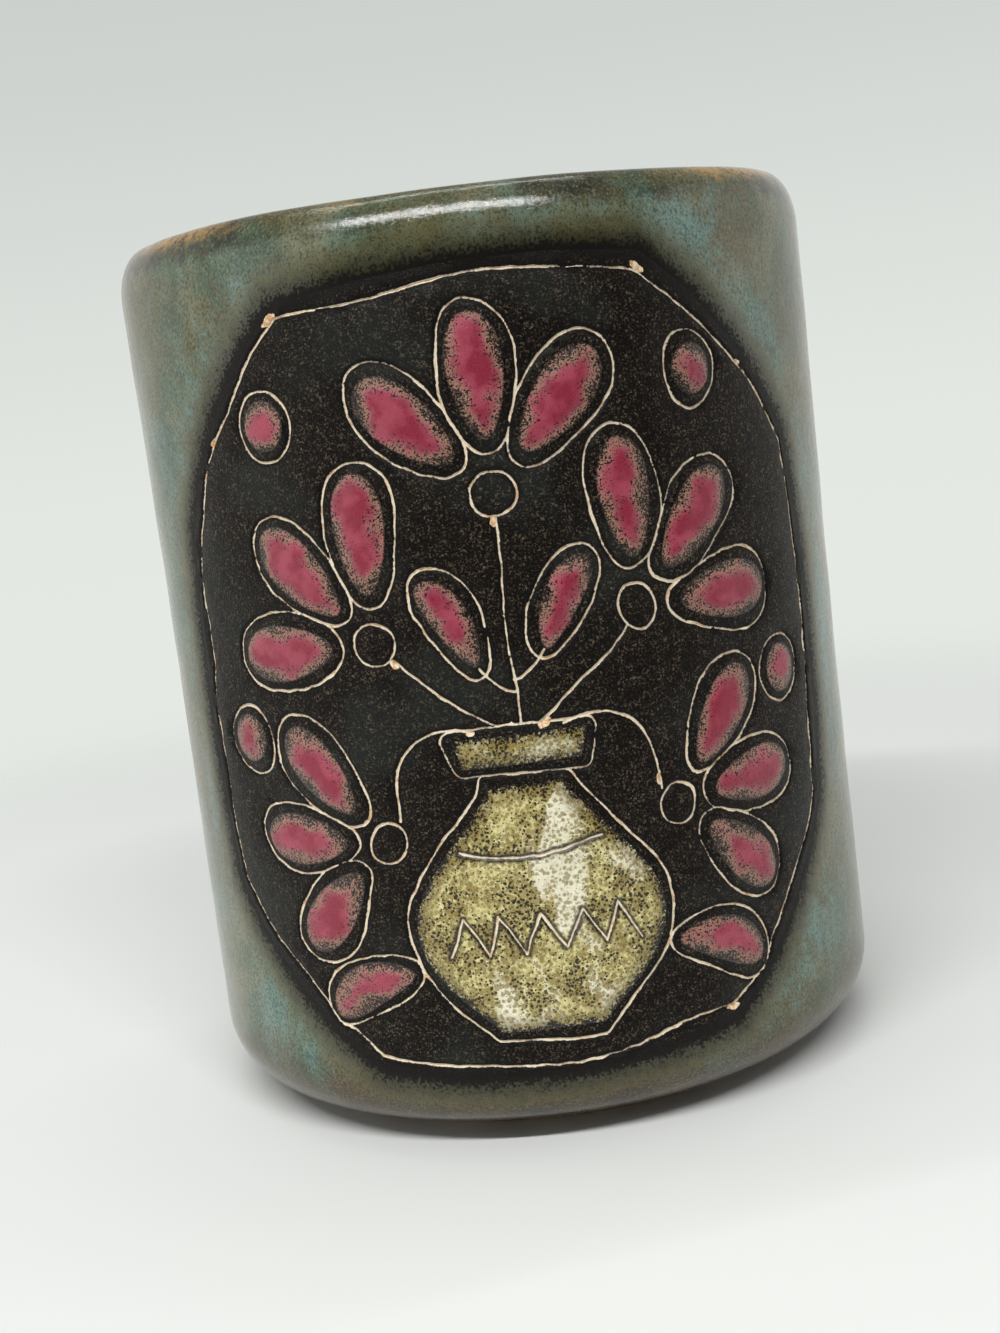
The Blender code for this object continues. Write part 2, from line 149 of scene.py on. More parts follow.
# Relief of the panel against the glaze round it
SLIP_THICKNESS = 0.00042
SLIP_SINK = 0.00022
PILLOW_HEIGHT = 0.00024
PILLOW_REACH = 0.0013
EDGE_EASE = 0.0012
CUT_DEPTH = 0.00026
CUT_REACH = 0.0003
CUT_MESH_REACH = 0.0011
CUT_MESH_CUTS = 6
GLAZE_ROLL = 0.0022

# How far the hand strays from a drawn line, in long sways and in short shakes
LINE_SWAY = 0.0003
LINE_SWAY_SIZE = 0.008
LINE_SWAY_SEEDS = (21, 22)
LINE_SHAKE = 0.00005
LINE_SHAKE_SIZE = 0.0014
LINE_SHAKE_SEEDS = (23, 24)

# Drawing on the panel, which is then stretched a little to fill the panel but for this margin
DRAWING_MARGIN = 0.0045
PETAL_START = 0.0056
PETAL_LENGTH = 0.014
PETAL_HALF_WIDTH = 0.0033
PETAL_SPREAD = 46.0
BERRY_RADIUS = 0.0029
VASE_FOOT_HALF = 0.0062
VASE_NECK_HALF = 0.0046
VASE_BULGE = 0.0098
VASE_BELLY_LOWNESS = 0.85
VASE_BELLY_ROUNDNESS = 1.3
VASE_BOTTOM = -0.04
VASE_TOP = -0.0115
VASE_RIM_BOTTOM = -0.0092
VASE_RIM_TOP = -0.0058
VASE_RIM_HALF = 0.0082
VASE_RIM_TAPER = 0.86
VASE_STEPS = 36

# Flower heads: across, up, tilt from upright in degrees and size against the largest
FLOWER_HEADS = (
    (0.0005, 0.0212, 2.0, 1.0),
    (-0.016, 0.0058, 46.0, 0.98),
    (0.0165, 0.0064, -44.0, 0.98),
    (-0.0182, -0.0172, 88.0, 0.92),
    (0.0188, -0.0164, -86.0, 0.92),
)

# Leaves: across and up at the middle, direction in degrees, length, half width and bend
LEAVES = (
    (-0.0068, 0.0072, 120.0, 0.0115, 0.0023, -0.0007),
    (0.0074, 0.0082, 58.0, 0.0115, 0.0023, 0.0007),
    (-0.0224, -0.035, 203.0, 0.013, 0.0027, -0.001),
    (0.0228, -0.0345, -21.0, 0.013, 0.0027, 0.001),
)

# Round berries: across, up
BERRIES = (
    (-0.0372, -0.0048),
    (0.0376, -0.0042),
    (-0.0272, 0.0312),
    (0.027, 0.0318),
)

# How far outside each pool of glaze its cut outline runs, and the round cut in a flower's middle
PETAL_RING = 0.0013
LEAF_RING = 0.0011
BERRY_RING = 0.0012
VASE_RING = 0.0012
CALYX_RADIUS = 0.0026

# How far inside the panel's edge the border line is cut, and how far it keeps from the pools
BORDER_INSET = 0.0016
BORDER_CLEARANCE = 0.0011
BORDER_LEAST = 0.0009
BORDER_STEPS = 12
BORDER_SWAY = 0.22
BORDER_SWAY_SIZE = 0.03
BORDER_SWAY_SEED = 31

# Cut stems, as curves through control points: start, bend and end
STEMS = (
    ((0.0003, -0.0046), (0.0, 0.008), (0.0005, 0.0184)),
    ((-0.0024, -0.0046), (-0.0082, -0.0015), (-0.0139, 0.0039)),
    ((0.0026, -0.0046), (0.0084, -0.001), (0.0145, 0.0045)),
    ((-0.0052, -0.005), (-0.015, -0.002), (-0.0162, -0.0149)),
    ((0.0054, -0.005), (0.0156, -0.002), (0.0168, -0.0141)),
    ((-0.0039, 0.0022), (-0.0022, -0.0002), (0.0001, -0.001)),
    ((0.0045, 0.0032), (0.0026, 0.0008), (0.0001, 0.0004)),
)
STEM_STEPS = 18

# Lines cut through the vase's glaze: a zigzag round the belly and a plain line at the shoulder
ZIGZAG_HEIGHT = -0.0285
ZIGZAG_DEPTH = 0.0023
ZIGZAG_TEETH = 5
ZIGZAG_HALF = 0.0118
SHOULDER_HEIGHT = -0.0185
SHOULDER_HALF = 0.0086
SHOULDER_SAG = 0.0012

# Flakes off the slip beside the cuts: line number, share along it, length and side
CHIPS = (
    (0, 0.0, 0.003, 1),
    (0, 0.075, 0.0016, 1),
    (0, 0.375, 0.0024, 1),
    (0, 0.625, 0.0018, 1),
    (0, 0.872, 0.0032, 1),
    (0, 0.8, 0.0018, 1),
    (2, 0.97, 0.0022, 1),
    (3, 0.03, 0.0026, -1),
    (1, 0.985, 0.002, 1),
    (5, 0.96, 0.0018, -1),
    (4, 0.02, 0.0016, 1),
)
CHIP_WIDTH = 0.55
CHIP_ASIDE = 0.25
CHIP_EDGE = (0.1, 0.5)
CHIP_DEPTH = 0.00012

# Pools of coloured glaze, over the slip
POOL_HEIGHT = 0.00028
POOL_EDGE = 0.0022
POOL_LIFT = 0.00002
POOL_THICKNESS = 0.00015
POOL_RINGS = (0.94, 0.87, 0.79, 0.7, 0.6, 0.48, 0.34, 0.18)
EGG_STEPS = 56
VASE_CELLS = 64
VASE_RIM_CELLS = 24
VASE_MESH_CUTS = 3
POOL_CUT_SHARE = 0.85

# Handle over its glaze, as in the solids, with furrows and with joints smoothed by a finger
HANDLE_REACH = 0.038
HANDLE_THICKNESS = 0.0102
HANDLE_WIDTH = 0.0182
UPPER_ROOT_DROP = 0.019
LOWER_ROOT_RISE = 0.026
HANDLE_LIFT = 0.004
ROOT_FLARE = 0.26
ROOT_FLARE_LENGTH = 0.013
HANDLE_SQUARENESS = 0.72
HANDLE_STEPS = 104
HANDLE_END_CROWDING = 0.86
HANDLE_SIDES = 48
HANDLE_SECTION = 2.35
HANDLE_FURROW = 0.00035
FURROW_PLACE = 0.42
FURROW_WIDTH = 0.16
FILLET_LENGTH = 0.005
FILLET_GROWTH = 0.32

# Looks of the handle: dark at its roots, and worn along its edges where it is clear of them
HANDLE_EDGE = (0.007, 0.0098)
HANDLE_BREAKING = 0.6
HANDLE_AMBER = 0.52
ROOT_HALO = 0.36
ROOT_DARK_REACH = 0.004
ROOT_CLEAR_REACH = 0.014

# Rings that the throwing leaves on the floor and the wall of the cup: depth and spacing
FLOOR_RINGS = (0.00012, 0.0009)
WALL_RINGS = (0.00014, 0.00085)
FLOOR_STEPS = 30
WALL_STEPS = 90

# Floor and light
FLOOR_RADIUS = 0.34
FLOOR_SIDES = 96
FLOOR_FADE_START = 0.14
ROOM_LIGHT = 0.9
ROOM_FRONT_DIM = 0.92
ROOM_TOP_DIM = 0.65


def smooth_step(value, low, high):
    """0 below low, 1 above high and a soft rise between, for an array or a number."""
    share = np.clip((np.asarray(value, float) - low) / (high - low), 0.0, 1.0)
    return share * share * (3 - 2 * share)


def profile(up):
    """Radius, height and outward direction (radial, upward) along the mug's outer surface."""
    up = np.asarray(up, float)
    outer = np.clip((up - WALL_TOP) / LIP_OUTER_LENGTH, 0, 1) * QUARTER
    inner = QUARTER + np.clip((up - LIP_CREST) / LIP_INNER_LENGTH, 0, 1) * QUARTER
    corner = -np.clip((WALL_BOTTOM - up) / BASE_CORNER_RADIUS, 0, QUARTER)
    under = np.maximum(WALL_BOTTOM - CORNER_LENGTH - up, 0.0)
    base = BODY_RADIUS - BASE_CORNER_RADIUS - under
    inner_low = MUG_HEIGHT - LIP_INNER_DROP
    bends = (
        (up > WALL_TOP, outer, LIP_RADIUS, WALL_TOP, LIP_OUTER_WIDTH, LIP_OUTER_DROP),
        (up > LIP_CREST, inner, LIP_RADIUS, inner_low, LIP_INNER_WIDTH, LIP_INNER_DROP),
        (up < WALL_BOTTOM, corner, base, WALL_BOTTOM, BASE_CORNER_RADIUS, BASE_CORNER_RADIUS),
    )
    radius, height, out = BODY_RADIUS, up, np.array([[1.0], [0.0]])
    for here, turn, centre_r, centre_z, width, drop in bends:
        radius = np.where(here, centre_r + width * np.cos(turn), radius)
        height = np.where(here, centre_z + drop * np.sin(turn), height)
        out = np.where(here, [np.cos(turn) / width, np.sin(turn) / drop], out)
    return radius, height, out / np.hypot(*out)


def around(across):
    """The angle round the mug's axis, from the panel's middle."""
    return np.asarray(across, float) / BODY_RADIUS


def uneven(places, size, seed):
    """Smooth unevenness, mostly from -1 to 1, in swells about this size across."""
    draw = np.random.default_rng(seed)
    total = np.zeros(len(places))
    for _ in range(SWELLS):
        way = draw.normal(size=places.shape[1])
        way *= draw.uniform(0.6, 1.4) * math.pi / (size * np.linalg.norm(way))
        total += np.sin(places @ way + draw.uniform(0.0, 2 * math.pi))
    return total / math.sqrt(SWELLS)


def dimples(places, size, seed):
    """Unevenness from 0 to 1."""
    return np.clip(0.5 + 0.4 * uneven(places, size, seed), 0, 1)


def hand_shape(across, up):
    """How far in the wall lies from a true cylinder, as a hand and a cloth leave it."""
    angle = around(across)
    places = np.stack([BODY_RADIUS * np.sin(angle), BODY_RADIUS * np.cos(angle), up], axis=1)
    on_wall = np.clip((up - WALL_BOTTOM) / (WALL_TOP - WALL_BOTTOM), 0, 1)
    waist = WAIST_DEPTH * np.sin(math.pi * on_wall)
    dents = DENT_DEPTH * dimples(places, DENT_SIZE, DENT_SEED)
    ripples = RIPPLE_DEPTH * dimples(places, RIPPLE_SIZE, RIPPLE_SEED)
    fade = smooth_step(up, SHEET_BOTTOM, WALL_BOTTOM) * (1 - smooth_step(up, LIP_CREST, SHEET_TOP))
    return -(waist + dents + ripples) * fade


def wall_places(across, up, relief):
    """Places in the frame for places on the wall, moved out by a relief."""
    radius, height, out = profile(up)
    offset = hand_shape(across, up) + relief
    radius = radius + offset * out[0]
    height = height + offset * out[1]
    angle = around(across)
    lip = smooth_step(up, WALL_TOP, LIP_CREST)
    height = height - LIP_UNEVENNESS * lip * (0.5 + 0.3 * np.sin(2 * angle + 0.7) + 0.2 * np.sin(3 * angle))
    return np.stack([radius * np.sin(angle), AXIS_Y - radius * np.cos(angle), height], axis=1)


def distance_to(points, line):
    """The distance from each point to a line of points, or FAR where it is well away."""
    nearest = np.full(len(points), FAR)
    low, high = line.min(axis=0) - LINE_REACH, line.max(axis=0) + LINE_REACH
    close = np.flatnonzero(((points > low) & (points < high)).all(axis=1))
    near = points[close]
    found = np.full(len(near), FAR)
    for start, end in zip(line[:-1], line[1:]):
        along = end - start
        share = np.clip((near - start) @ along / (along @ along), 0, 1)
        away = near - start - share[:, None] * along
        found = np.minimum(found, np.hypot(*away.T))
    nearest[close] = found
    return nearest


def closed(outline):
    """An outline with its first point again at its end."""
    return np.vstack([outline, outline[:1]])


def pairs(first, second):
    """Two rows of numbers as a column of pairs."""
    return np.stack([first, second], axis=1)


def within(points, outline):
    """Which points lie inside an outline."""
    found = np.zeros(len(points), bool)
    close = np.flatnonzero(((points > outline.min(axis=0)) & (points < outline.max(axis=0))).all(axis=1))
    x, y = points[close].T
    inside = np.zeros(len(close), bool)
    ring = closed(outline)
    for (x0, y0), (x1, y1) in zip(ring[:-1], ring[1:]):
        if y0 != y1:
            inside ^= ((y0 > y) != (y1 > y)) & (x < (x1 - x0) * (y - y0) / (y1 - y0) + x0)
    found[close] = inside
    return found


def depth_in(points, outline):
    """The distance to an outline, positive inside it."""
    distance = distance_to(points, closed(outline))
    return np.where(within(points, outline), distance, -distance)


def panel_outline(steps=PANEL_STEPS):
    """The bowed, many-sided edge of the dark panel, as in the solids."""
    corners = [(a * PANEL_HALF_ARC, PANEL_CENTRE + b * PANEL_HALF_HEIGHT) for a, b in PANEL_CORNERS]
    points = []
    for (u0, v0), (u1, v1) in zip(corners, corners[1:] + corners[:1]):
        length = math.hypot(u1 - u0, v1 - v0)
        out = (-(v1 - v0) / length, (u1 - u0) / length)
        for i in range(steps):
            share = i / steps
            bow = 4 * PANEL_BOW * share * (1 - share)
            points.append((u0 + (u1 - u0) * share + bow * out[0], v0 + (v1 - v0) * share + bow * out[1]))
    return np.array(points)


def egg(across, up, direction, length, half_width, bend=0.0, taper=0.5):
    """A bent egg shape: its middle, the way that its thick end points, and its size."""
    way = math.radians(direction)
    turn = 2 * math.pi * np.arange(EGG_STEPS) / EGG_STEPS
    along = np.cos(turn) / 2
    aside = np.sin(turn) * half_width * (1 + taper * along) + bend * (1 - 4 * along * along)
    along = along * length
    cosine, sine = math.cos(way), math.sin(way)
    return pairs(across + along * cosine - aside * sine, up + along * sine + aside * cosine)


def petals(across, up, tilt, size):
    """The three pools of one flower head, fanned from the top of its stem."""
    found = []
    for side in (-1, 0, 1):
        direction = 90.0 + tilt + side * PETAL_SPREAD
        middle = size * (PETAL_START + PETAL_LENGTH / 2)
        way = math.radians(direction)
        place = (across + middle * math.cos(way), up + middle * math.sin(way))
        found.append(egg(*place, direction, size * PETAL_LENGTH, size * PETAL_HALF_WIDTH))
    return found


def berry(across, up):
    return egg(across, up, 0.0, 2 * BERRY_RADIUS, BERRY_RADIUS, taper=0.0)


def vase_half(share):
    """The vase's half width at a share of its height."""
    swell = np.sin(math.pi * np.asarray(share, float) ** VASE_BELLY_LOWNESS)
    taper = VASE_FOOT_HALF + (VASE_NECK_HALF - VASE_FOOT_HALF) * share
    return taper + VASE_BULGE * np.maximum(swell, 0.0) ** VASE_BELLY_ROUNDNESS


def vase_body():
    share = np.arange(VASE_STEPS + 1) / VASE_STEPS
    half = vase_half(share)
    height = VASE_BOTTOM + (VASE_TOP - VASE_BOTTOM) * share
    return np.vstack([pairs(half, height), pairs(-half, height)[::-1]])


def vase_rim_half(share):
    """The rim's half width at a share of its height."""
    lower = VASE_RIM_TAPER * VASE_RIM_HALF
    return lower + (VASE_RIM_HALF - lower) * share


def vase_rim():
    lower, upper = vase_rim_half(0), VASE_RIM_HALF
    across = (-lower, lower, upper, -upper)
    return pairs(across, (VASE_RIM_BOTTOM, VASE_RIM_BOTTOM, VASE_RIM_TOP, VASE_RIM_TOP))


def drawn_pools():
    """The outline of every pool of glaze, by its node's name, before it is fitted."""
    pools = {"vase_glaze": vase_body(), "vase_rim_glaze": vase_rim()}
    for flower, head in enumerate(FLOWER_HEADS, 1):
        for letter, petal in zip("abc", petals(*head)):
            pools[f"petal_glaze_{flower}{letter}"] = petal
    for number, leaf in enumerate(LEAVES, 1):
        pools[f"leaf_glaze_{number}"] = egg(*leaf)
    for number, middle in enumerate(BERRIES, 1):
        pools[f"berry_glaze_{number}"] = berry(*middle)
    return pools


DRAWN = drawn_pools()
DRAWN_POINTS = np.vstack(list(DRAWN.values()))
DRAWING_BOTTOM = PANEL_BOTTOM + DRAWING_MARGIN
DRAWING_LOWEST = DRAWN_POINTS[:, 1].min()
STRETCH_ACROSS = (PANEL_HALF_ARC - DRAWING_MARGIN) / abs(DRAWN_POINTS[:, 0]).max()
STRETCH_UP = (PANEL_TOP - DRAWING_MARGIN - DRAWING_BOTTOM) / (DRAWN_POINTS[:, 1].max() - DRAWING_LOWEST)


def fitted(points):
    """Points of the drawing as places on the wall."""
    points = np.asarray(points, float)
    up = DRAWING_BOTTOM + STRETCH_UP * (points[:, 1] - DRAWING_LOWEST)
    return pairs(STRETCH_ACROSS * points[:, 0], up)


POOLS = {name: fitted(outline) for name, outline in DRAWN.items()}
OUTLINE = panel_outline()


def moved_in(outline, distance):
    """A clockwise outline moved inwards by a distance."""
    along = np.roll(outline, -1, axis=0) - np.roll(outline, 1, axis=0)
    along /= np.hypot(*along.T)[:, None]
    return outline + distance * pairs(along[:, 1], -along[:, 0])


def curve(start, bend, end):
    """A smooth line from start to end that leans towards its bend."""
    t = (np.arange(STEM_STEPS + 1) / STEM_STEPS)[:, None]
    start, bend, end = (np.array(point) for point in (start, bend, end))
    return (1 - t) ** 2 * start + 2 * t * (1 - t) * bend + t**2 * end


def zigzag():
    """The toothed line round the vase's belly."""
    share = np.arange(2 * ZIGZAG_TEETH + 1) / (2 * ZIGZAG_TEETH)
    side = np.where(np.arange(len(share)) % 2 == 0, -1, 1)
    return pairs(ZIGZAG_HALF * (2 * share - 1), ZIGZAG_HEIGHT + ZIGZAG_DEPTH * side)


def shoulder_line():
    share = np.arange(STEM_STEPS + 1) / STEM_STEPS
    sag = SHOULDER_SAG * np.sin(math.pi * share)
    return pairs(SHOULDER_HALF * (2 * share - 1), SHOULDER_HEIGHT - sag)


def border_line():
    """The cut line inside the panel's edge, which keeps clear of the pools as it goes round."""
    edge = panel_outline(BORDER_STEPS)
    inset = BORDER_INSET * (1 + BORDER_SWAY * uneven(edge, BORDER_SWAY_SIZE, BORDER_SWAY_SEED))
    room = np.min([distance_to(edge, closed(pool)) for pool in POOLS.values()], axis=0)
    inset = np.clip(room - BORDER_CLEARANCE, BORDER_LEAST, inset)
    return moved_in(edge, inset[:, None])


BORDER = border_line()
VASE_LINES = [fitted(zigzag()), fitted(shoulder_line())]
PANEL_LINES = [closed(BORDER)] + [fitted(curve(*stem)) for stem in STEMS]


def ringed_groups():
    """Groups of pools that share one cut outline, with the outline's distance from them."""
    groups = [([POOLS["vase_glaze"], POOLS["vase_rim_glaze"]], VASE_RING)]
    for flower in range(1, len(FLOWER_HEADS) + 1):
        groups.append(([POOLS[f"petal_glaze_{flower}{letter}"] for letter in "abc"], PETAL_RING))
    groups += [([POOLS[f"leaf_glaze_{n}"]], LEAF_RING) for n in range(1, len(LEAVES) + 1)]
    groups += [([POOLS[f"berry_glaze_{n}"]], BERRY_RING) for n in range(1, len(BERRIES) + 1)]
    return groups


def wander(points):
    """Points shifted a little, so that lines measured from them look drawn by hand."""
    sway = pairs(*(uneven(points, LINE_SWAY_SIZE, seed) for seed in LINE_SWAY_SEEDS))
    shake = pairs(*(uneven(points, LINE_SHAKE_SIZE, seed) for seed in LINE_SHAKE_SEEDS))
    return points + LINE_SWAY * sway + LINE_SHAKE * shake


def ring_distance(points, outlines, ring):
    """The distance to the outline that runs round a group of pools and between them."""
    distances = np.sort([-depth_in(points, outline) for outline in outlines], axis=0)
    found = np.abs(distances[0] - ring)
    if len(outlines) > 1:
        between = np.maximum((distances[1] - distances[0]) / 2, distances[0] - ring)
        found = np.minimum(found, between)
    return found


def cut_distance(points):
    """The distance from each place on the wall to the nearest line cut through the slip."""
    points = wander(points)
    border = distance_to(points, PANEL_LINES[0])
    nearest = border
    for line in PANEL_LINES[1:]:
        nearest = np.minimum(nearest, distance_to(points, line))
    for outlines, ring in ringed_groups():
        nearest = np.minimum(nearest, ring_distance(points, outlines, ring))
    for across, up, _, size in FLOWER_HEADS:
        centre = fitted([(across, up)])[0]
        away = np.hypot(*(points - centre).T)
        nearest = np.minimum(nearest, np.abs(away - size * CALYX_RADIUS))
    return np.where(within(points, BORDER), nearest, border)


def vase_cut_distance(points):
    points = wander(points)
    return np.minimum(*(distance_to(points, line) for line in VASE_LINES))


def chip_amount(points):
    """1 in the middle of a flake off the slip, falling to 0 at its edge and on below 0."""
    points = wander(points)
    most = np.full(len(points), -1.0)
    for number, share, length, side in CHIPS:
        line = PANEL_LINES[number]
        at = share * (len(line) - 1)
        first = min(int(at), len(line) - 2)
        along = line[first + 1] - line[first]
        centre = line[first] + (at - first) * along
        way = along / np.hypot(*along)
        beside = side * np.array((-way[1], way[0]))
        away = points - centre - CHIP_ASIDE * CHIP_WIDTH * length * beside
        reach = np.hypot(away @ way / (length / 2), away @ beside / (CHIP_WIDTH * length / 2))
        most = np.maximum(most, 1 - reach)
    return most


def cut_depth(distance):
    """How deep a cut is at a distance from its middle."""
    return CUT_DEPTH * (1 - smooth_step(distance, 0.0, CUT_REACH))


def panel_relief(points):
    """The slip's surface against the mug's true wall, swollen between the cuts."""
    edge = depth_in(points, OUTLINE)
    distance = cut_distance(points)
    relief = PILLOW_HEIGHT * (1 - np.exp(-distance / PILLOW_REACH)) - cut_depth(distance)
    relief = relief - CHIP_DEPTH * smooth_step(chip_amount(points), *CHIP_EDGE)
    return relief * smooth_step(edge, 0.0, EDGE_EASE) - SLIP_SINK


def glaze_relief(points):
    """The glaze thins down to the panel's slip at its edge."""
    away = -depth_in(points, OUTLINE)
    return -SLIP_SINK * (1 - smooth_step(away, 0.0, GLAZE_ROLL))


def places_of(shape):
    """The flat places of a bmesh's vertices."""
    return np.array([(vert.co.x, vert.co.y) for vert in shape.verts])


def row_heights():
    heights = [SHEET_ROWS[0][0]]
    for low, high, count in SHEET_ROWS:
        heights += [low + (high - low) * (i + 1) / count for i in range(count)]
    return heights


def flat_sheet():
    """The whole outer surface unrolled flat, with the panel's edge cut into it."""
    heights = row_heights()
    rows = len(heights) - 1
    shape = bmesh.new()
    bmesh.ops.create_grid(shape, x_segments=SHEET_COLUMNS, y_segments=rows, size=0.5)
    for vert in shape.verts:
        row = round((vert.co.y + 0.5) * rows)
        vert.co = (vert.co.x * 2 * math.pi * BODY_RADIUS, heights[row], 0.0)
    return cut_along(shape, OUTLINE)


def cut_along(shape, outline):
    """Cuts the faces near each edge of an outline along that edge."""
    ring = closed(outline)
    for start, end in zip(ring[:-1], ring[1:]):
        middle, reach = (start + end) / 2, np.hypot(*(end - start)) / 2 + BISECT_SPARE
        near = [f for f in shape.faces if math.dist(f.calc_center_median()[:2], middle) < reach]
        near = [f for f in near if distance_to(places_of(f), np.array([start, end])).min() < BISECT_REACH]
        geometry = set(near)
        for face in near:
            geometry.update(face.edges)
            geometry.update(face.verts)
        along = Vector((*(end - start), 0.0)).normalized()
        aside = (along.y, -along.x, 0.0)
        bmesh.ops.bisect_plane(
            shape, geom=list(geometry), dist=BISECT_SNAP, plane_co=(*start, 0.0), plane_no=aside
        )
    return shape


def keep(shape, outline, inside):
    """Leaves only the faces inside an outline, or only those outside it."""
    centres = np.array([face.calc_center_median()[:2] for face in shape.faces])
    found = within(centres, outline)
    drop = [face for face, here in zip(shape.faces, found) if here != inside]
    bmesh.ops.delete(shape, geom=drop, context="FACES")


def refine(shape, distances, cuts):
    """Splits the edges that lie near a cut line."""
    close = {vert for vert, distance in zip(shape.verts, distances) if distance < CUT_MESH_REACH}
    edges = [edge for edge in shape.edges if all(vert in close for vert in edge.verts)]
    bmesh.ops.subdivide_edges(shape, edges=edges, cuts=cuts, use_grid_fill=True)


def wrap(shape, relief):
    """Rolls a flat shape round the mug, with a relief for each vertex."""
    points = places_of(shape)
    for vert, place in zip(shape.verts, wall_places(points[:, 0], points[:, 1], relief)):
        vert.co = place


def sharp_rim(shape):
    """Keeps a sheet's rim a crisp edge when the rest is shaded smooth."""
    for edge in shape.edges:
        if edge.is_boundary:
            edge.smooth = False


def mesh_from(name, shape):
    mesh = bpy.data.meshes.new(name)
    shape.to_mesh(mesh)
    shape.free()
    return mesh


def placed(name, data):
    """A new object in the scene."""
    thing = bpy.data.objects.new(name, data)
    bpy.context.scene.collection.objects.link(thing)
    return thing


def piece(name, shape, finish, replaced, marks=None):
    """A finished piece of the mug. Marks are numbers kept at its vertices for its finish."""
    sharp_rim(shape)
    mesh = mesh_from(name, shape)
    for mark, values in (marks or {}).items():
        made = mesh.attributes.new(mark, "FLOAT", "POINT")
        made.data.foreach_set("value", np.asarray(values, np.float32))
    mesh.shade_smooth()
    mesh.materials.append(finish)
    thing = placed(name, mesh)
    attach(thing, "root")
    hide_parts(*replaced)
    return thing


def thicken(thing, thickness):
    """Gives a sheet its thickness, inwards from its shown side."""
    wall = thing.modifiers.new("thickness", "SOLIDIFY")
    wall.thickness = thickness
    wall.offset = -1.0


def turned(name, outline, finish, replaced):
    """A closed solid turned round the mug's axis from (radius, height) points."""
    shape = bmesh.new()
    verts = [shape.verts.new((radius, AXIS_Y, height)) for radius, height in outline]
    edges = [shape.edges.new(pair) for pair in zip(verts, verts[1:])]
    how = {"angle": 2 * math.pi, "steps": ROUND_STEPS, "use_merge": True}
    middle, upright = (0.0, AXIS_Y, 0.0), (0.0, 0.0, 1.0)
    bmesh.ops.spin(shape, geom=verts + edges, cent=middle, axis=upright, **how)
    bmesh.ops.remove_doubles(shape, verts=shape.verts, dist=TURNED_WELD)
    bmesh.ops.recalc_face_normals(shape, faces=shape.faces)
    piece(name, shape, finish, replaced)


def bend_round(centre, width, drop, start, end, steps=BEND_STEPS):
    """Points along an elliptical arc, by angles in degrees from the outward direction."""
    turns = [math.radians(start + (end - start) * i / steps) for i in range(steps + 1)]
    return [(centre[0] + width * math.cos(t), centre[1] + drop * math.sin(t)) for t in turns]


def corner_round(centre, radius, start, end, steps=BEND_STEPS):
    """Points along a round arc."""
    return bend_round(centre, radius, radius, start, end, steps)


# Finishes: millimetres in a metre, and how rough the clay is where a coat is cut or flaked away
MILLIMETRES = 1000.0
BARE_ROUGHNESS = 0.88


class Wire:
    """A number that runs through a tree's nodes, with Python's operators."""

    def __init__(self, kit, socket):
        self.kit = kit
        self.socket = socket

    def __add__(self, other):
        return self.kit.maths("ADD", self, other)

    def __sub__(self, other):
        return self.kit.maths("SUBTRACT", self, other)

    def __rsub__(self, other):
        return self.kit.maths("SUBTRACT", other, self)

    def __mul__(self, other):
        return self.kit.maths("MULTIPLY", self, other)

    def __truediv__(self, other):
        return self.kit.maths("DIVIDE", self, other)

    __radd__ = __add__
    __rmul__ = __mul__


class Nodes:
    """Adds nodes to the tree of a finish or of the surroundings."""

    def __init__(self, tree):
        self.tree = tree

    def join(self, value, node, key):
        self.tree.links.new(value.socket, node.inputs[key])

    def node(self, kind, settings=None, inputs=None, output=0):
        """Adds a node, sets it up, and joins or fills its sockets."""
        made = self.tree.nodes.new("ShaderNode" + kind)
        for name, value in (settings or {}).items():
            setattr(made, name, value)
        for key, value in (inputs or {}).items():
            if isinstance(value, Wire):
                self.join(value, made, key)
            else:
                made.inputs[key].default_value = value
        return Wire(self, made.outputs[output])

    def maths(self, operation, first, second=0.0):
        return self.node("Math", {"operation": operation}, {0: first, 1: second})

    def rise(self, value, low, high):
        """0 below low, 1 above high and a soft rise between. High may be the lower."""
        if low > high:
            return 1 - self.rise(value, high, low)
        sockets = {"Value": value, "From Min": low, "From Max": high}
        return self.node("MapRange", {"interpolation_type": "SMOOTHSTEP"}, sockets)

    def most(self, first, second):
        return self.maths("MAXIMUM", first, second)

    def blend(self, share, first, second):
        """A colour between two colours."""
        return self.node("Mix", {"data_type": "RGBA"}, {0: share, 6: first, 7: second}, output=2)


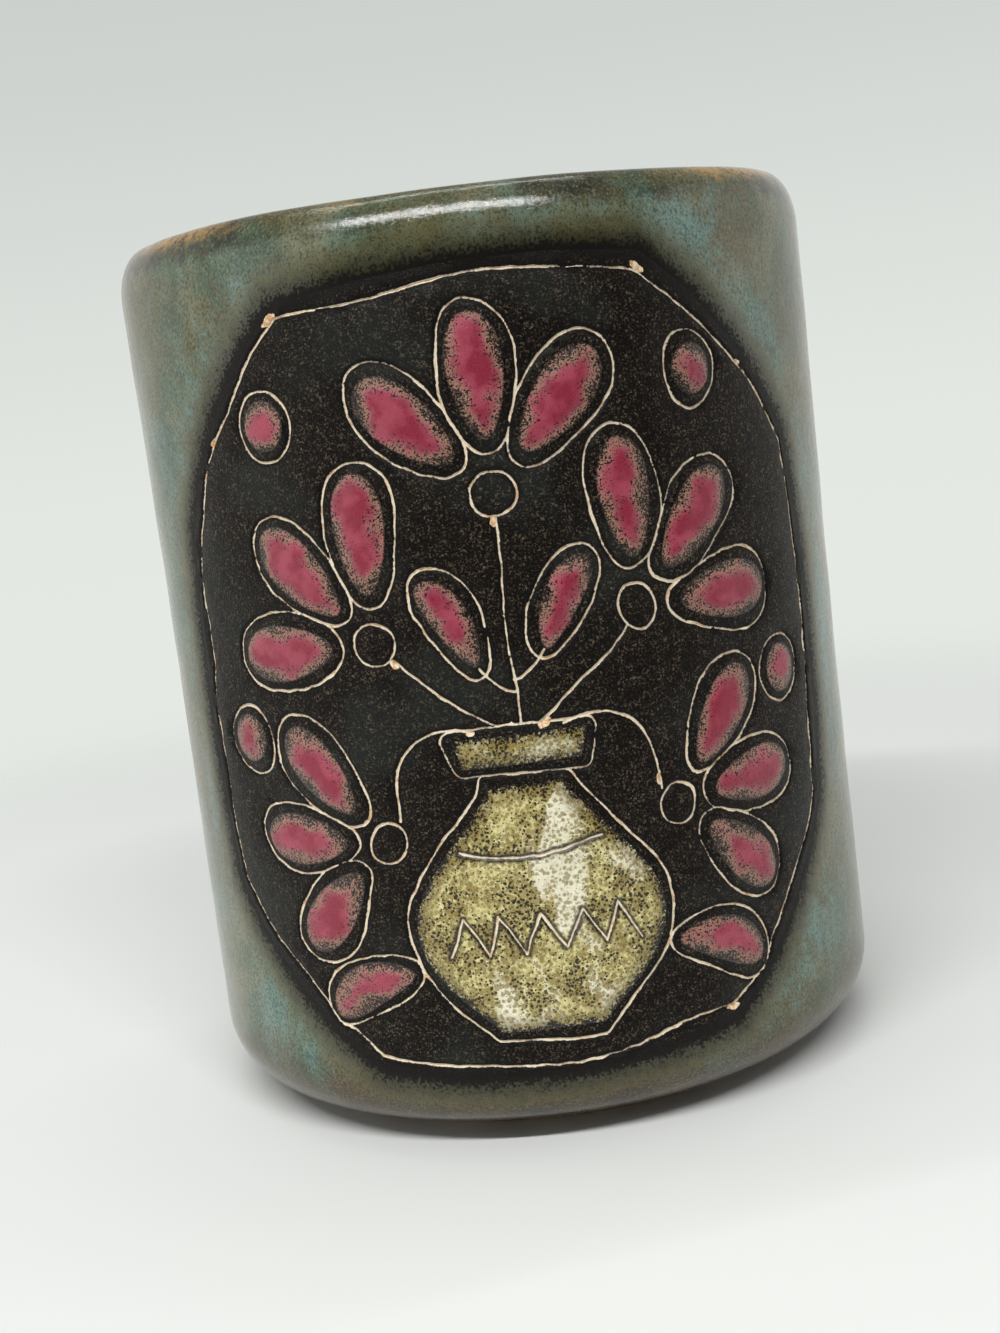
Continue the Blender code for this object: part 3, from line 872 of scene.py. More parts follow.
class Finish(Nodes):
    """A material made node by node. Patterns are laid out in millimetres on the object."""

    def __init__(self, name, roughness, specular=0.5):
        self.material = bpy.data.materials.new(name)
        self.material.use_nodes = True
        super().__init__(self.material.node_tree)
        self.shader = self.tree.nodes["Principled BSDF"]
        self.shader.inputs["Roughness"].default_value = roughness
        self.shader.inputs["Specular IOR Level"].default_value = specular
        self.colour = None
        place = self.node("TexCoord", output="Object")
        self.place = self.node("VectorMath", {"operation": "SCALE"}, {0: place, "Scale": MILLIMETRES})

    def mark(self, name):
        return self.node("Attribute", {"attribute_name": name}, output="Fac")

    def grain(self, size, roughness=0.5, detail=3.0, distortion=0.0, stretch=None):
        """Noise from 0 to 1 whose marks are about this many millimetres across."""
        place = self.place
        if stretch is not None:
            place = self.node("Mapping", {}, {"Vector": place, "Scale": stretch})
        sockets = {"Vector": place, "Scale": 1.0 / size, "Detail": detail}
        return self.node("TexNoise", {}, {**sockets, "Roughness": roughness, "Distortion": distortion})

    def sway(self, strength, size, *how, **more):
        """Noise that strays this much in all, as far below 0 as above it."""
        return (self.grain(size, *how, **more) - 0.5) * strength

    def patches(self, low, high, size, *how, **more):
        """Patches of noise, 0 where it is below low and 1 where it is above high."""
        return self.rise(self.grain(size, *how, **more), low, high)

    def spots(self, apart, radius, fade):
        """Round spots, 1 inside, with their middles about this many millimetres apart."""
        sockets = {"Vector": self.place, "Scale": 1.0 / apart, "Randomness": 1.0}
        away = self.node("TexVoronoi", {}, sockets, "Distance") * apart
        return self.rise(away - radius, fade, 0.0)

    def relief(self, height, distance, under=None):
        """A bumped normal. Height runs from 0 to 1 over this many metres."""
        sockets = {"Height": height, "Distance": distance, "Strength": 1.0}
        if under is not None:
            sockets["Normal"] = under
        return self.node("Bump", {}, sockets)

    def skin(self, fine, depth, swell, swell_depth):
        """A bumped normal with a fine grain over soft swells of this size."""
        return self.relief(fine, depth, self.relief(self.grain(swell, detail=2.0), swell_depth))

    def lay(self, share, colour):
        """Lays a colour over the running one where share is 1."""
        self.colour = self.blend(share, self.colour, colour)

    def cover(self, share, over):
        """Lays a second surface over the first where share is 1."""
        under = Wire(self, self.shader.outputs[0])
        shown = self.node("MixShader", {}, {0: share, 1: under, 2: over})
        self.join(shown, self.tree.nodes["Material Output"], "Surface")

    def done(self, roughness, normal):
        """Gives the shader its colour, roughness and normal, and hands the material over."""
        for key, value in {"Base Color": self.colour, "Roughness": roughness, "Normal": normal}.items():
            self.join(value, self.shader, key)
        return self.material


def tone(red, green, blue):
    """A colour from its display values out of 255."""
    parts = (value / 255 for value in (red, green, blue))
    linear = [p / 12.92 if p <= 0.04045 else ((p + 0.055) / 1.055) ** 2.4 for p in parts]
    return (*linear, 1.0)


TEAL = tone(101, 121, 97)
DEEP_TEAL = tone(66, 86, 68)
OLIVE = tone(98, 91, 58)
MOSS_GREY = tone(132, 130, 102)
TURQUOISE = tone(112, 151, 147)
GRAIN_DARK = tone(34, 38, 30)
GRAIN_LIGHT = tone(150, 153, 132)
HALO_OLIVE = tone(50, 49, 32)
# Black at the panel's edge: partly the dark slip, partly painted shade of the step down to the panel
HALO_BLACK_AND_SHADE = tone(20, 17, 14)
LIP_OLIVE = tone(66, 60, 42)
LIP_DARK = tone(34, 30, 24)
AMBER = tone(174, 138, 80)
BROWN = tone(80, 56, 34)
FOOT_BROWN = tone(50, 36, 26)
BLACK_SLIP = tone(7, 3, 1)
# Grey of the slip's painted sheen
SLIP_SHEEN = tone(27, 30, 27)
SLIP_FLECK = tone(120, 106, 88)
CUT_EDGE_BLACK = tone(12, 9, 8)
CREAM = tone(242, 226, 200)
CREAM_SHADE = tone(212, 178, 136)
FLAKE = tone(220, 170, 112)
ROSE = tone(140, 36, 58)
ROSE_PALE = tone(166, 68, 86)
ROSE_PINK = tone(182, 102, 112)
ROSE_FRINGE = tone(164, 126, 106)
ROSE_DOT = tone(40, 14, 16)
STRAW = tone(216, 206, 142)
STRAW_PALE = tone(242, 237, 210)
STRAW_SHADE = tone(128, 108, 46)
STRAW_EDGE = tone(112, 98, 50)
STRAW_SPECK = tone(40, 33, 16)
CLAY_TONE = tone(204, 178, 144)
CLAY_SPOT = tone(150, 110, 74)
LUTING_TONE = tone(188, 160, 124)
LUTING_SPOT = tone(160, 126, 92)
GROG_DARK = tone(112, 74, 46)
GROG_PALE = tone(226, 206, 176)
LINER_TONE = tone(104, 120, 108)
LINER_SHADE = tone(84, 100, 90)
PAPER = tone(230, 233, 231)
PAPER_PALE = tone(235, 237, 235)
BACKDROP_LOW = tone(229, 233, 228)
BACKDROP_HIGH = tone(200, 205, 202)
ROOM_TONE = tone(239, 240, 235)


# How patterns that sag down the wall are squeezed on x, y and z before they are drawn
SAGGED = (1.0, 1.0, 0.7)


def slip_colour(finish):
    """Brown-black slip with a fine sandy fleck, greyer and plainer in broad patches of painted sheen."""
    sheen_patches = finish.patches(0.49, 0.68, 15.0)
    fleck = finish.patches(0.52, 0.66, 0.27, 0.8)
    clumps = finish.patches(0.4, 0.58, 1.1, 0.7)
    # Broad grey patches over the black are painted sheen
    base = finish.blend(sheen_patches, BLACK_SLIP, SLIP_SHEEN)
    return finish.blend(fleck * (0.2 + 0.66 * clumps) * (1 - 0.2 * sheen_patches), base, SLIP_FLECK)


def cut_marks(finish, roughness, chips):
    """Lays the pale cut lines, the black edge beside them and any flakes on the colour.

    Gives the roughness, which is the clay's where it is laid bare.
    """
    distance = finish.mark("cut") * MILLIMETRES
    edge_black = finish.rise(distance + finish.sway(0.5, 0.7, detail=2.0), 0.7, 0.3)
    finish.lay(edge_black * 0.85, CUT_EDGE_BLACK)
    ragged = distance + finish.sway(0.24, 0.45, 0.65) + finish.sway(0.26, 4.0, detail=2.0)
    bare = finish.rise(ragged, 0.155, 0.095)
    finish.lay(bare, finish.blend(finish.patches(0.5, 0.68, 1.2, 0.6), CREAM, CREAM_SHADE))
    if chips:
        flaked = finish.rise(finish.mark("chip") + finish.sway(0.9, 0.9, 0.6, 4.0), 0.28, 0.36)
        finish.lay(flaked, finish.blend(finish.patches(0.4, 0.6, 0.5), FLAKE, CREAM))
        bare = finish.most(bare, flaked)
    return roughness + (BARE_ROUGHNESS - roughness) * bare


def green_glaze():
    """Teal and olive glaze: mottled, finely peppered, turquoise where it ran thick."""
    finish = Finish("green_glaze", 0.2)
    drift = finish.grain(20.0, 0.55, distortion=0.7, stretch=SAGGED)
    patch = finish.grain(8.5, 0.55, distortion=0.3)
    finish.colour = finish.blend(finish.rise(patch, 0.3, 0.72), DEEP_TEAL, TEAL)
    olive = finish.rise(drift + (patch - 0.5) * 0.3 + finish.sway(0.3, 1.5), 0.42, 0.64)
    finish.lay(olive * 0.9, OLIVE)
    finish.lay(finish.patches(0.46, 0.68, 12.0, 0.55, distortion=0.5) * 0.6, MOSS_GREY)
    streaks = finish.sway(2.6, 13.0, distortion=1.0, stretch=SAGGED)
    broken = finish.patches(0.36, 0.6, 5.0, 0.6, distortion=1.0)
    ran = finish.mark("ran") * (0.4 + 0.55 * broken) + streaks
    ran = finish.rise(ran + finish.sway(0.6, 2.6, 0.6, distortion=0.8), 0.08, 1.05)
    finish.lay(ran * finish.patches(0.2, 0.52, 0.5) * 0.76, TURQUOISE)

    band = finish.rise(finish.mark("breaking") + finish.sway(0.9, 3.0), 0.25, 0.75)
    lip = finish.blend(finish.patches(0.42, 0.6, 2.0, 0.6), LIP_DARK, LIP_OLIVE)
    finish.lay(band * (0.25 + 0.6 * finish.patches(0.42, 0.6, 15.0, detail=2.0)), lip)

    footing = finish.mark("footing") + finish.sway(1.4, 9.0)
    finish.lay(finish.rise(footing, 0.1, 0.95) * 0.75, BROWN)
    finish.lay(finish.rise(footing, 0.9, 1.3), FOOT_BROWN)
    halo = finish.mark("halo") + finish.sway(0.3, 1.4, 0.65)
    finish.lay(finish.rise(halo, 0.05, 0.45) * 0.75, OLIVE)

    pepper = finish.grain(0.32, 0.75, stretch=(1.0, 1.0, 0.85))
    finish.lay(finish.rise(pepper, 0.52, 0.36) * 0.7, GRAIN_DARK)
    finish.lay(finish.rise(pepper, 0.54, 0.7) * 0.45, GRAIN_LIGHT)
    speckled = halo + (pepper - 0.5) * 1.3
    finish.lay(finish.rise(speckled, 0.34, 0.6) * 0.85, HALO_OLIVE)

    worn = finish.mark("amber") + finish.sway(1.7, 2.6, 0.65, 4.0) + (pepper - 0.5) * 0.9
    rusty = finish.blend(finish.patches(0.34, 0.54, 0.9, 0.65, 4.0), BROWN, AMBER)
    finish.lay(finish.rise(worn, 0.2, 1.15) * 0.75, rusty)

    # Matte black where the halo is deepest: the dark slip under thin glaze, and partly painted shade in the
    # step down to the panel
    matte_black_and_shade = {"Base Color": HALO_BLACK_AND_SHADE, "Roughness": 0.4, "Specular IOR Level": 0.18}
    finish.cover(finish.rise(speckled, 0.58, 0.78), finish.node("BsdfPrincipled", {}, matte_black_and_shade))
    roughness = 0.05 + 0.12 * finish.patches(0.4, 0.7, 0.5, 0.7) + 0.06 * olive
    return finish.done(roughness, finish.skin(pepper, 0.000025, 1.5, 0.00005))


def panel_slip():
    """Satin black slip with pale cuts down to the clay."""
    finish = Finish("panel_slip", 0.42, specular=0.15)
    margin = finish.mark("margin") * MILLIMETRES + finish.sway(1.6, 1.2)
    finish.colour = slip_colour(finish)
    # Black at the slip's edge, partly painted shade in the step down from the glaze
    finish.lay(finish.rise(margin, 1.9, 0.5) * 0.9, HALO_BLACK_AND_SHADE)
    grain = finish.grain(0.22, 0.8, 2.0)
    roughness = cut_marks(finish, 0.29 + 0.24 * finish.rise(grain, 0.38, 0.64), True)
    return finish.done(roughness, finish.skin(grain, 0.00009, 1.4, 0.00006))


def rose_glaze():
    """Raspberry glaze, solid in the middle of a pool and broken into specks at its edge."""
    finish = Finish("rose_glaze", 0.34)
    edge = finish.mark("edge") * MILLIMETRES
    specks = finish.grain(0.23, 0.7)
    depth = edge + finish.sway(5.0, 4.5, detail=2.0)
    body = finish.blend(finish.patches(0.4, 0.65, 3.0, detail=2.0), ROSE, ROSE_PALE)
    body = finish.blend(finish.rise(depth, 2.4, 0.8) * 0.55, body, ROSE_PINK)
    spray = finish.rise(specks + 0.13 * finish.rise(depth, -0.4, 1.3), 0.555, 0.615)
    finish.colour = slip_colour(finish)
    finish.lay(spray * finish.rise(edge, 0.0, 0.25), ROSE_FRINGE)
    finish.lay(finish.rise(depth + (specks - 0.5) * 5.5, 1.1, 1.45), body)
    finish.lay(finish.spots(0.8, 0.12, 0.07) * finish.rise(depth, 2.8, 1.4), ROSE_DOT)
    roughness = 0.26 + 0.18 * finish.rise(specks, 0.35, 0.65)
    return finish.done(roughness, finish.skin(specks, 0.00006, 1.6, 0.00006))


def straw_glaze():
    """Yellow-green glaze, thick and pale in places, peppered with dark specks."""
    finish = Finish("straw_glaze", 0.34)
    edge = finish.mark("edge") * MILLIMETRES
    specks = finish.grain(0.35, 0.7)
    pale = finish.patches(0.52, 0.64, 6.5, distortion=0.6, stretch=(1.0, 1.0, 0.6))
    dense = finish.patches(0.36, 0.6, 4.5) * (1 - 0.85 * pale)
    finish.colour = finish.blend(pale, STRAW, STRAW_PALE)
    finish.lay(finish.patches(0.46, 0.64, 3.0, 0.6) * (1 - 0.8 * pale) * 0.65, STRAW_SHADE)
    finish.lay(finish.rise(edge + finish.sway(2.4, 3.0, detail=2.0), 2.3, 0.5) * 0.8, STRAW_EDGE)
    finish.lay(finish.rise(specks, 0.52, 0.38) * 0.45 * (1 - 0.6 * pale), STRAW_SHADE)
    finish.lay(finish.rise(specks, 0.54, 0.66) * 0.5, STRAW_PALE)
    finish.lay(finish.spots(0.54, 0.16 + 0.14 * dense, 0.14) * 0.7, STRAW_SHADE)
    finish.lay(finish.spots(0.5, 0.07 + 0.1 * dense, 0.06) * (1 - 0.5 * pale), STRAW_SPECK)
    finish.lay(finish.spots(0.38, 0.03 + 0.08 * dense, 0.05) * 0.9, STRAW_SPECK)
    cover = finish.rise(edge + finish.sway(1.8, 2.6) + (specks - 0.5) * 4.0, 0.3, 0.5)
    finish.colour = finish.blend(cover, slip_colour(finish), finish.colour)
    roughness = cut_marks(finish, 0.24 + 0.18 * finish.rise(specks, 0.35, 0.65), False)
    return finish.done(roughness, finish.skin(specks, 0.00006, 1.8, 0.00008))


def liner_glaze():
    """Plain grey-green liner, finely peppered and pinholed."""
    finish = Finish("liner_glaze", 0.2)
    finish.colour = finish.blend(finish.patches(0.4, 0.62, 14.0), LINER_TONE, LINER_SHADE)
    pepper = finish.grain(0.4, 0.7)
    finish.lay(finish.rise(pepper, 0.48, 0.34) * 0.6, GRAIN_DARK)
    finish.lay(finish.rise(pepper, 0.58, 0.74) * 0.4, GRAIN_LIGHT)
    finish.lay(finish.spots(2.4, 0.1, 0.08) * 0.8, FOOT_BROWN)
    roughness = 0.14 + 0.14 * finish.patches(0.35, 0.7, 2.5)
    return finish.done(roughness, finish.relief(finish.grain(1.2), 0.00006))


def stoneware(name, warm, spot):
    """Bare fired clay: buff, sanded, with iron spots."""
    finish = Finish(name, 0.85)
    finish.colour = finish.blend(finish.patches(0.38, 0.64, 6.0, detail=4.0), warm, spot)
    grog = finish.grain(0.5, 0.7)
    finish.lay(finish.rise(grog, 0.6, 0.7) * 0.6, GROG_DARK)
    finish.lay(finish.rise(grog, 0.42, 0.32) * 0.5, GROG_PALE)
    return finish.done(0.72 + 0.2 * finish.rise(grog, 0.3, 0.7), finish.relief(grog, 0.00012))


def base_glaze():
    """Dark glaze in the hollow under the foot."""
    finish = Finish("base_glaze", 0.4)
    finish.colour = slip_colour(finish)
    grain = finish.grain(0.6, 0.7)
    return finish.done(0.3 + 0.25 * finish.rise(grain, 0.35, 0.7), finish.relief(grain, 0.00006))


# Turquoise runs in the glaze: across, up, length, width, direction in degrees, strength
RUNS = (
    (-0.033, 0.092, 0.036, 0.006, 46.0, 1.1),
    (-0.002, 0.1025, 0.03, 0.0045, 4.0, 1.2),
    (-0.05, 0.08, 0.03, 0.005, 74.0, 0.5),
    (0.022, 0.101, 0.028, 0.0065, -8.0, 1.1),
    (0.037, 0.092, 0.024, 0.006, -44.0, 1.0),
    (0.048, 0.064, 0.036, 0.006, 95.0, 1.0),
    (-0.033, 0.015, 0.032, 0.008, -30.0, 0.55),
    (0.033, 0.015, 0.036, 0.008, 26.0, 0.9),
    (-0.05, 0.05, 0.04, 0.009, 84.0, 0.45),
    (0.07, 0.08, 0.036, 0.009, 60.0, 0.9),
    (0.08, 0.035, 0.034, 0.008, -50.0, 0.7),
    (-0.078, 0.082, 0.036, 0.008, -58.0, 0.9),
    (-0.085, 0.038, 0.036, 0.008, 44.0, 0.8),
    (-0.115, 0.064, 0.034, 0.008, 80.0, 0.8),
    (0.118, 0.06, 0.036, 0.008, -76.0, 0.8),
)

# Stretches of the lip where the glaze is worn thin and amber: across, half length, strength
AMBER_STRETCHES = (
    (-0.04, 0.015, 1.05),
    (-0.013, 0.0035, 0.55),
    (0.041, 0.013, 1.2),
    (0.074, 0.006, 0.5),
    (-0.098, 0.021, 0.7),
    (0.118, 0.011, 0.6),
)

# Heights between which the amber rises towards the crest, and fades past it
AMBER_RISE = (LIP_CREST - 0.0062, LIP_CREST - 0.0026)
AMBER_FALL = (LIP_CREST - 0.0004, LIP_CREST + 0.0022)
AMBER_FADE = 0.8

# The panel's halo, the dark lip and the brown foot: reach and curve, or heights and strength
HALO_REACH = 0.0068
HALO_CURVE = 0.6
BREAKING_RISE = (WALL_TOP - 0.0005, LIP_CREST - 0.0035)
FOOTING_FALL = (WALL_BOTTOM - CORNER_LENGTH - 0.001, WALL_BOTTOM + 0.01)
FOOTING = 1.3


def run_amount(points):
    """1 along the middle of a turquoise run, falling away to both sides and both ends."""
    most = np.zeros(len(points))
    for across, up, length, width, direction, strength in RUNS:
        way = math.radians(direction)
        away = points - (across, up)
        along = (away @ (math.cos(way), math.sin(way))) / (length / 2)
        aside = (away @ (-math.sin(way), math.cos(way))) / width
        most = np.maximum(most, strength * np.exp(-(along**4) - aside**2))
    return most


def amber_amount(points):
    """1 on the lip's crest where the glaze is worn thin."""
    most = np.zeros(len(points))
    for across, half, strength in AMBER_STRETCHES:
        most = np.maximum(most, strength * np.exp(-(((points[:, 0] - across) / half) ** 2)))
    up = points[:, 1]
    return most * smooth_step(up, *AMBER_RISE) * (1 - AMBER_FADE * smooth_step(up, *AMBER_FALL))


def glaze_marks(points):
    """What the outer glaze's finish needs to know at each place on the wall."""
    away = -depth_in(points, OUTLINE)
    up = points[:, 1]
    return {
        "halo": 1 - np.clip(away / HALO_REACH, 0, 1) ** HALO_CURVE,
        "ran": run_amount(points),
        "breaking": smooth_step(up, *BREAKING_RISE),
        "amber": amber_amount(points),
        "footing": FOOTING * (1 - smooth_step(up, *FOOTING_FALL)),
    }


def make_outside(finishes):
    """The outer glaze and the panel, cut from one sheet so that no seam shows between them."""
    sheet = flat_sheet()
    slip = sheet.copy()
    keep(sheet, OUTLINE, False)
    keep(slip, OUTLINE, True)

    points = places_of(sheet)
    across = sheet.verts.layers.float.new("across")
    up = sheet.verts.layers.float.new("up")
    for vert in sheet.verts:
        vert[across] = vert.co.x
        vert[up] = vert.co.y
    wrap(sheet, glaze_relief(points))
    bmesh.ops.remove_doubles(sheet, verts=sheet.verts, dist=SHEET_WELD)
    marks = glaze_marks(np.array([(vert[across], vert[up]) for vert in sheet.verts]))
    glaze = piece("glazed_outside", sheet, finishes["green"], ["outer_glaze"], marks)
    thicken(glaze, GLAZE_THICKNESS)

    back = slip.copy()
    refine(slip, cut_distance(places_of(slip)), CUT_MESH_CUTS)
    points = places_of(slip)
    marks = {"cut": cut_distance(points), "chip": chip_amount(points), "margin": depth_in(points, OUTLINE)}
    marks = {name: np.append(values, np.zeros(len(back.verts))) for name, values in marks.items()}
    wrap(slip, panel_relief(points))
    wrap(back, np.full(len(back.verts), -SLIP_SINK - SLIP_THICKNESS))
    close_sheet(slip, back)
    piece("slipped_panel", slip, finishes["slip"], ["panel_slip"], marks)


def close_sheet(front, back):
    """Joins a plain back to a finely cut front along their rims."""
    sharp_rim(front)
    backing = mesh_from("backing", back)
    front.from_mesh(backing)
    bpy.data.meshes.remove(backing)
    bmesh.ops.bridge_loops(front, edges=[edge for edge in front.edges if edge.is_boundary])
    bmesh.ops.recalc_face_normals(front, faces=front.faces)


def dome(points, outline):
    """The height of a pool of glaze over the slip, and the distance in from its edge."""
    edge = np.maximum(depth_in(points, outline), 0.0)
    return edge, POOL_LIFT + POOL_HEIGHT * smooth_step(edge, 0.0, POOL_EDGE)


def next_ring(shape, edges):
    """Extrudes a ring of edges. Gives the new ring's vertices and edges."""
    made = bmesh.ops.extrude_edge_only(shape, edges=edges)["geom"]
    ring = [item for item in made if isinstance(item, bmesh.types.BMVert)]
    fresh = set(ring)
    return ring, [e for e in made if isinstance(e, bmesh.types.BMEdge) and fresh.issuperset(e.verts)]


def ringed_pool(outline):
    """A flat patch of rings that shrink towards its middle."""
    centre = outline.mean(axis=0)
    shape = bmesh.new()
    verts = [shape.verts.new((u, v, 0.0)) for u, v in outline]
    edges = [shape.edges.new(pair) for pair in zip(verts, verts[1:] + verts[:1])]
    before = 1.0
    for share in POOL_RINGS:
        ring, edges = next_ring(shape, edges)
        for vert in ring:
            vert.co.x = centre[0] + (vert.co.x - centre[0]) * share / before
            vert.co.y = centre[1] + (vert.co.y - centre[1]) * share / before
        before = share
    middle = bmesh.ops.contextual_create(shape, geom=edges)["faces"]
    bmesh.ops.poke(shape, faces=middle)
    return shape


def face_up(shape):
    """Turns every face of a flat shape the same way, towards the shown side."""
    bmesh.ops.recalc_face_normals(shape, faces=shape.faces)
    if next(iter(shape.faces)).normal.z < 0:
        bmesh.ops.reverse_faces(shape, faces=shape.faces)


def ruled_pool(half_at, bottom, top, cells):
    """A flat patch between two mirrored sides, in square cells."""
    shape = bmesh.new()
    bmesh.ops.create_grid(shape, x_segments=cells, y_segments=cells, size=0.5)
    for vert in shape.verts:
        share = vert.co.y + 0.5
        vert.co = (2 * vert.co.x * float(half_at(share)), bottom + (top - bottom) * share, 0.0)
    for vert, place in zip(shape.verts, fitted(places_of(shape))):
        vert.co = (*place, 0.0)
    return shape


def make_pool(node, shape, finish, lines=False):
    """A pool of glaze over the slip, with lines cut through it or without."""
    face_up(shape)
    if lines:
        refine(shape, vase_cut_distance(places_of(shape)), VASE_MESH_CUTS)
    points = places_of(shape)
    edge, height = dome(points, POOLS[node])
    cut = vase_cut_distance(points) if lines else np.full(len(points), FAR)
    height = height - np.minimum(cut_depth(cut), POOL_CUT_SHARE * height)
    wrap(shape, panel_relief(points) + height)
    name = node.replace("glaze", "pool")
    thicken(piece(name, shape, finish, [node], {"edge": edge, "cut": cut}), POOL_THICKNESS)


def make_pools(finishes):
    """The coloured pools: the vase and its rim, the petals, the leaves and the berries."""
    vase = ruled_pool(vase_half, VASE_BOTTOM, VASE_TOP, VASE_CELLS)
    make_pool("vase_glaze", vase, finishes["straw"], lines=True)
    rim = ruled_pool(vase_rim_half, VASE_RIM_BOTTOM, VASE_RIM_TOP, VASE_RIM_CELLS)
    make_pool("vase_rim_glaze", rim, finishes["straw"])
    for node, outline in POOLS.items():
        if not node.startswith("vase"):
            make_pool(node, ringed_pool(outline), finishes["rose"])


def make_clay(finishes):
    """The clay body inside its coats, with the bare foot ring that the mug stands on."""
    inset = BODY_RADIUS - CLAY_RADIUS
    wall_inset = inset + WAIST_DEPTH + DENT_DEPTH
    coat = LINER_THICKNESS + GAP
    lip, underside = LIP_RADIUS - INSIDE_RADIUS - coat, FOOT_HEIGHT + inset
    outline = [(0.0, INSIDE_FLOOR - coat)]
    outline += corner_round(INNER_BEND, INNER_CORNER_RADIUS + coat, -90, 0)
    centre, drop = (LIP_RADIUS, MUG_HEIGHT - LIP_INNER_DROP), LIP_INNER_DROP - inset
    outline += bend_round(centre, lip, drop, 180, 90)[:-1]
    centre, drop = (LIP_RADIUS, WALL_TOP), LIP_OUTER_DROP - inset
    outline += bend_round(centre, LIP_OUTER_WIDTH - wall_inset, drop, 90, 0)
    centre, drop = (BODY_RADIUS - BASE_CORNER_RADIUS, WALL_BOTTOM), BASE_CORNER_RADIUS - inset
    outline += bend_round(centre, BASE_CORNER_RADIUS - wall_inset, drop, 0, -90)
    outline += [(FOOT_OUTER, underside), (FOOT_OUTER, 2 * FOOT_EDGE)]
    outline += corner_round((FOOT_OUTER - FOOT_EDGE, FOOT_EDGE), FOOT_EDGE, 0, -90, FOOT_BEND_STEPS)
    outline += corner_round((FOOT_INNER + FOOT_EDGE, FOOT_EDGE), FOOT_EDGE, -90, -180, FOOT_BEND_STEPS)
    outline += [(FOOT_INNER, underside), (0.0, underside)]
    turned("fired_clay_body", outline, finishes["clay"], ["clay_body"])


def make_liner(finishes):
    """The coat inside the cup, faintly ringed by the throwing."""
    bend_radius, bend_height = INNER_BEND
    top = MUG_HEIGHT - LIP_INNER_DROP
    depth, spacing = FLOOR_RINGS
    outline = []
    for i in range(FLOOR_STEPS):
        radius = bend_radius * i / FLOOR_STEPS
        outline.append((radius, INSIDE_FLOOR + depth * (1 - math.cos(radius / spacing)) / 2))
    outline += corner_round(INNER_BEND, INNER_CORNER_RADIUS, -90, 0)
    depth, spacing = WALL_RINGS
    for i in range(1, WALL_STEPS + 1):
        height = bend_height + (top - bend_height) * i / WALL_STEPS
        fade = math.sin(math.pi * i / WALL_STEPS)
        outline.append((INSIDE_RADIUS + depth * fade * math.sin(height / spacing), height))
    outline.append((INSIDE_RADIUS + LINER_THICKNESS, top))
    outline += corner_round(INNER_BEND, INNER_CORNER_RADIUS + LINER_THICKNESS, 0, -90)
    outline.append((0.0, INSIDE_FLOOR - LINER_THICKNESS))
    turned("glazed_inside", outline, finishes["liner"], ["liner_glaze"])


def make_base(finishes):
    """The disc of glaze in the hollow under the foot, drawn up at its edge."""
    edge = FOOT_INNER - FOOT_GLAZE_SETBACK
    top = FOOT_HEIGHT + GLAZE_THICKNESS
    outline = [(0.0, top), (edge, top)]
    centre = (edge - HOLLOW_BEND, FOOT_HEIGHT + HOLLOW_BEND)
    outline += corner_round(centre, HOLLOW_BEND, 0, -90, FOOT_BEND_STEPS)
    outline.append((0.0, FOOT_HEIGHT))
    turned("glazed_hollow", outline, finishes["base"], ["base_glaze"])


def handle_path():
    """Places, directions and growth along the handle's middle, root to root."""
    upper = MUG_HEIGHT - UPPER_ROOT_DROP
    middle, half = (upper + LOWER_ROOT_RISE) / 2, (upper - LOWER_ROOT_RISE) / 2
    reach = HANDLE_REACH - HANDLE_THICKNESS / 2
    inside = CLAY_RADIUS - CLAY_WALL / 2
    stops = [(inside, upper, 0.0)]
    for i in range(HANDLE_STEPS + 1):
        share = i / HANDLE_STEPS
        turn = math.pi * share - HANDLE_END_CROWDING * math.sin(2 * math.pi * share) / 2
        out = reach * math.sin(turn) ** HANDLE_SQUARENESS
        rise = middle + half * math.cos(turn) + HANDLE_LIFT * math.sin(turn) ** 2
        stops.append((BODY_RADIUS + out, rise, out))
    stops.append((inside, LOWER_ROOT_RISE, 0.0))
    found = []
    for i, (radius, height, out) in enumerate(stops):
        before, after = stops[max(i - 1, 0)], stops[min(i + 1, len(stops) - 1)]
        along = Vector((0.0, after[0] - before[0], after[1] - before[1])).normalized()
        near = max(0.0, 1 - out / ROOT_FLARE_LENGTH)
        fillet = max(0.0, 1 - out / FILLET_LENGTH)
        growth = 1 + ROOT_FLARE * near**2 + FILLET_GROWTH * fillet**3
        found.append((Vector((0.0, AXIS_Y + radius, height)), along, growth))
    return found


def handle_section(turn, growth):
    """A flattened oval with two shallow furrows drawn down its outer face: (across, out)."""
    cosine, sine = math.cos(turn), math.sin(turn)
    power = 2 / HANDLE_SECTION
    across = math.copysign(abs(cosine) ** power, cosine)
    out = math.copysign(abs(sine) ** power, sine)
    aside = (abs(across) - FURROW_PLACE) / FURROW_WIDTH
    furrow = HANDLE_FURROW * math.exp(-(aside**2)) * max(0.0, out)
    wide = growth * HANDLE_WIDTH / 2
    return across * wide, out * growth * HANDLE_THICKNESS / 2 - furrow


